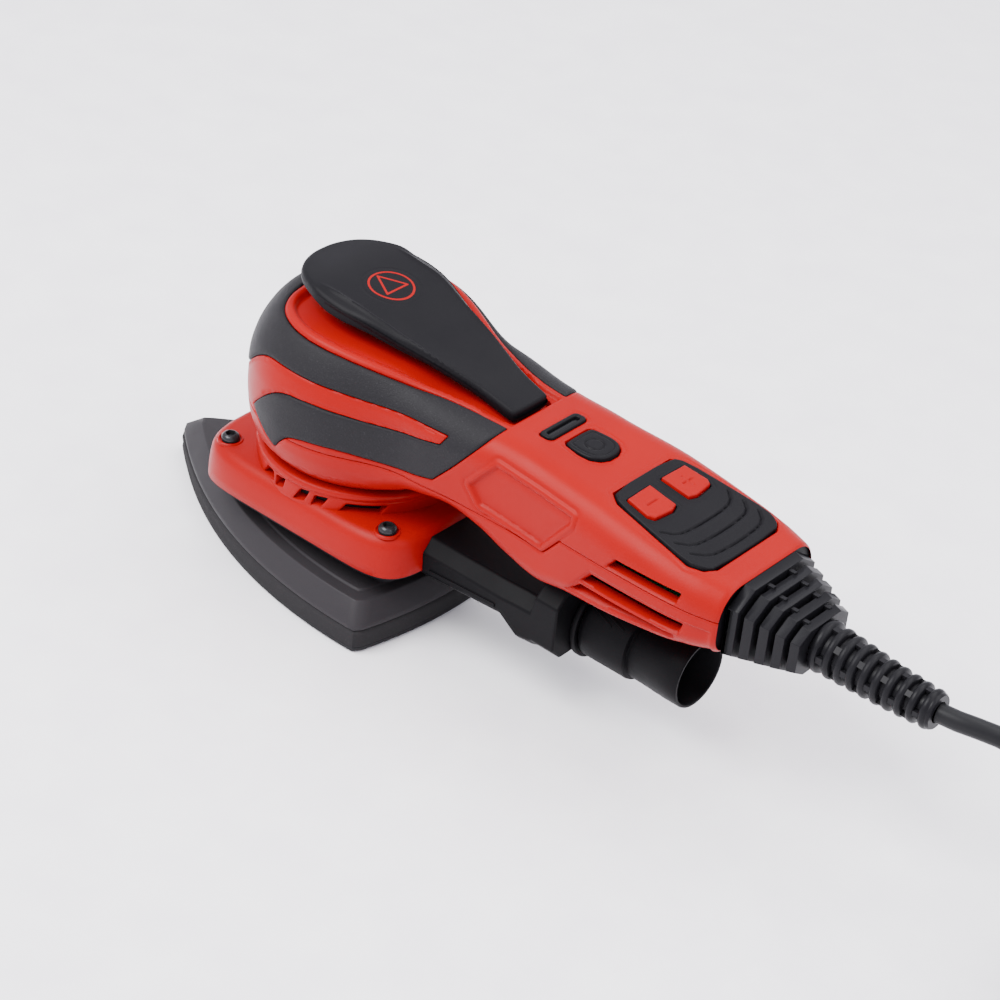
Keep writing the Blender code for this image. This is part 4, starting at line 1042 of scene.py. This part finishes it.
def build_cord():
    path = smooth_route(ROUTE) + coil_points() + smooth_route(TAIL)
    data = bpy.data.curves.new("mains_cord", "CURVE")
    data.dimensions, data.bevel_depth, data.bevel_resolution = "3D", CORD_RADIUS * MM, 4
    data.use_fill_caps = True
    spline = data.splines.new("POLY")
    spline.points.add(len(path) - 1)
    for item, p in zip(spline.points, path):
        item.co = (p[0] * MM, p[1] * MM, p[2] * MM, 1.0)
    spline.use_smooth = True
    cord = link_object("mains_cord", data)
    data.materials.append(MATS["sheath"])
    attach(cord, "housing")
    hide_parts("cord", "cord_tail", "cord_coil")
    x, y, z = -368.0, -24.0, 38.1
    spec = [(0, 4.3, 4.3)]
    for d in (0.8, 4.8, 8.8, 12.8, 16.8):
        spec += [(d + e, 4.4 + d * 0.085 - dip, 4.4 + d * 0.06 - dip)
                 for e, dip in ((0, 0), (1.2, 0), (1.6, 0.7), (2.6, 0.7), (3.0, 0))]
    spec.append((22.5, 6.6, 5.8))
    rings = [[(x - d, yy, zz) for yy, zz in super_outline(w, t, 2.4, 40, (y, z))] for d, w, t in spec]
    relief = solid("plug_relief", loft(rings), "gloss", sharp=45)
    spec = [(20.5, 6.8, 5.8), (21.5, 8.0, 6.6), (25, 10.6, 7.8), (29, 12.4, 8.3), (31, 12.0, 8.0),
            (32, 12.4, 8.3), (34, 12.1, 8.0), (35, 12.5, 8.3), (37, 12.2, 8.0), (38, 12.7, 8.35),
            (43, 12.7, 8.35), (43.8, 12.2, 7.9), (44, 11.4, 7.2)]
    rings = [[(x - d, yy, zz) for yy, zz in super_outline(w, t, 3, 56, (y, z))] for d, w, t in spec]
    plug = solid("plug_shell", loft(rings), "rubber", replaces=["plug_body"], sharp=45)
    for k, side in enumerate((1, -1), 1):
        centre = (y + side * 6.5, z)
        pin = [(0.2, x - 43.5), (2.0, x - 43.5), (2.0, x - 60.8), (1.5, x - 61.8), (0.2, x - 62)]
        sleeve = [(1.9, x - 43.6), (2.1, x - 43.6), (2.1, x - 53), (1.9, x - 53.2)]
        solid("contact_pin_%d" % k, turned(pin, 28, centre, "x"), "steel",
                            replaces=["plug_pin_%d" % k])
        solid("pin_sleeve_%d" % k, turned(sleeve, 28, centre, "x"), "rubber")
    # the strap around the coil, its foot pressed against the floor
    ang, rings = math.radians(200), []
    for w, grow in ((-6, 0), (-6, 1), (-5.4, 1.1), (5.4, 1.1), (6, 1), (6, 0), (-6, 0)):
        ring = []
        for u, v in super_outline(11.3 + grow * 0.8, 14.6 + grow * 0.75, 5, 48, (37.75, 14.75)):
            ring.append((COIL[0] + u * math.cos(ang) - w * math.sin(ang),
                         COIL[1] + u * math.sin(ang) + w * math.cos(ang), max(v, 0.15 - 0.1 * grow)))
        rings.append(ring)
    solid("coil_tie", loft(rings, False), "strap", sharp=50)


def basic_materials():
    return {
        "red": surface("red_moulding", RED, 0.38, 2600, 0.3, 0.05, wear=0.08, spec=0.32),
        "red_key": surface("red_key", RED, 0.42, 3200, 0.12, 0.05, wear=0.08, spec=0.3),
        "grip": surface("soft_grip", SOFT, 0.55, 2300, 0.9, 0.08, speck=0.25, wear=0.15),
        "black": surface("black_moulding", BLACK, 0.5, 2600, 0.18, 0.08, wear=0.15, spec=0.32),
        "rubber": surface("black_rubber", SOFT, 0.6, 2200, 0.25, 0.08, wear=0.15, spec=0.35),
        "dark": surface("duct_moulding", (0.0018, 0.0016, 0.0022), 0.5, 2600, 0.18, 0.08,
                        wear=0.15, spec=0.24),
        "gloss": surface("guard_rubber", (0.0055, 0.0053, 0.0065), 0.38, 2400, 0.15, 0.08,
                         wear=0.15, spec=0.34),
        "sheath": surface("cord_sheath", (0.009, 0.009, 0.010), 0.42, 1800, 0.12, 0.08, spec=0.4),
        "strap": surface("hook_strap", (0.02, 0.02, 0.022), 0.9, 4200, 0.9, 0.05, speck=0.3),
        "pad": surface("pad_plate", (0.020, 0.018, 0.020), 0.5, 2000, 0.2, 0.08, wear=0.2, spec=0.4),
        "foam": surface("pad_foam", (0.018, 0.017, 0.018), 0.85, 3500, 0.7, 0.06, speck=0.25, spec=0.3),
        "hook": surface("hook_fabric", (0.02, 0.02, 0.021), 0.9, 5200, 1.0, 0.05, speck=0.4),
        "screw": surface("black_oxide", (0.03, 0.03, 0.033), 0.35, 1800, 0.1, 0.1, metal=0.6),
        "steel": surface("ground_steel", (0.55, 0.55, 0.56), 0.3, 1500, 0.1, 0.1, metal=1.0),
        "copper": surface("copper_wire", (0.7, 0.33, 0.17), 0.35, 700, 0.6, 0.1, metal=1.0),
        "grey": surface("grey_plastic", (0.22, 0.22, 0.23), 0.5, 2400),
        "board": surface("solder_mask", (0.02, 0.17, 0.07), 0.4, 900, 0.2, 0.08),
        "lens": surface("lamp_glass", (0.004, 0.004, 0.005), 0.18, 1500, 0.05, 0.05,
                        spec=0.3, coat=0.15),
    }


def paint_nodes():
    table = {"steel": ["motor_shaft", "counterweight", "lower_bearing", "upper_bearing",
                       "pad_bearing", "lever_pin", "motor_stator", "rotor_magnets", "motor_base"],
             "copper": ["winding_lower", "winding_upper"],
             "board": ["main_board", "button_board"],
             "grey": ["cooling_fan", "bearing_cap", "capacitor", "terminal_block"],
             "black": ["lever_switch", "power_switch"],
             "screw": ["case_screw_%d" % k for k in range(1, 5)]}
    for key, names in table.items():
        for name in names:
            obj = NODES[name]
            if len(obj.material_slots) == 0:
                obj.data.materials.append(MATS[key])
            for s in obj.material_slots:
                s.material = MATS[key]


def main():
    place_camera()
    place_studio()
    MATS.update(basic_materials())
    build_cord()
    paint_nodes()
    build_shell()
    build_lever()
    build_controls()
    build_skirt()
    build_collar()
    build_skirt_screws()
    build_legs()
    build_pad()
    build_outlet()
    build_plates()
    build_sleeve()


main()
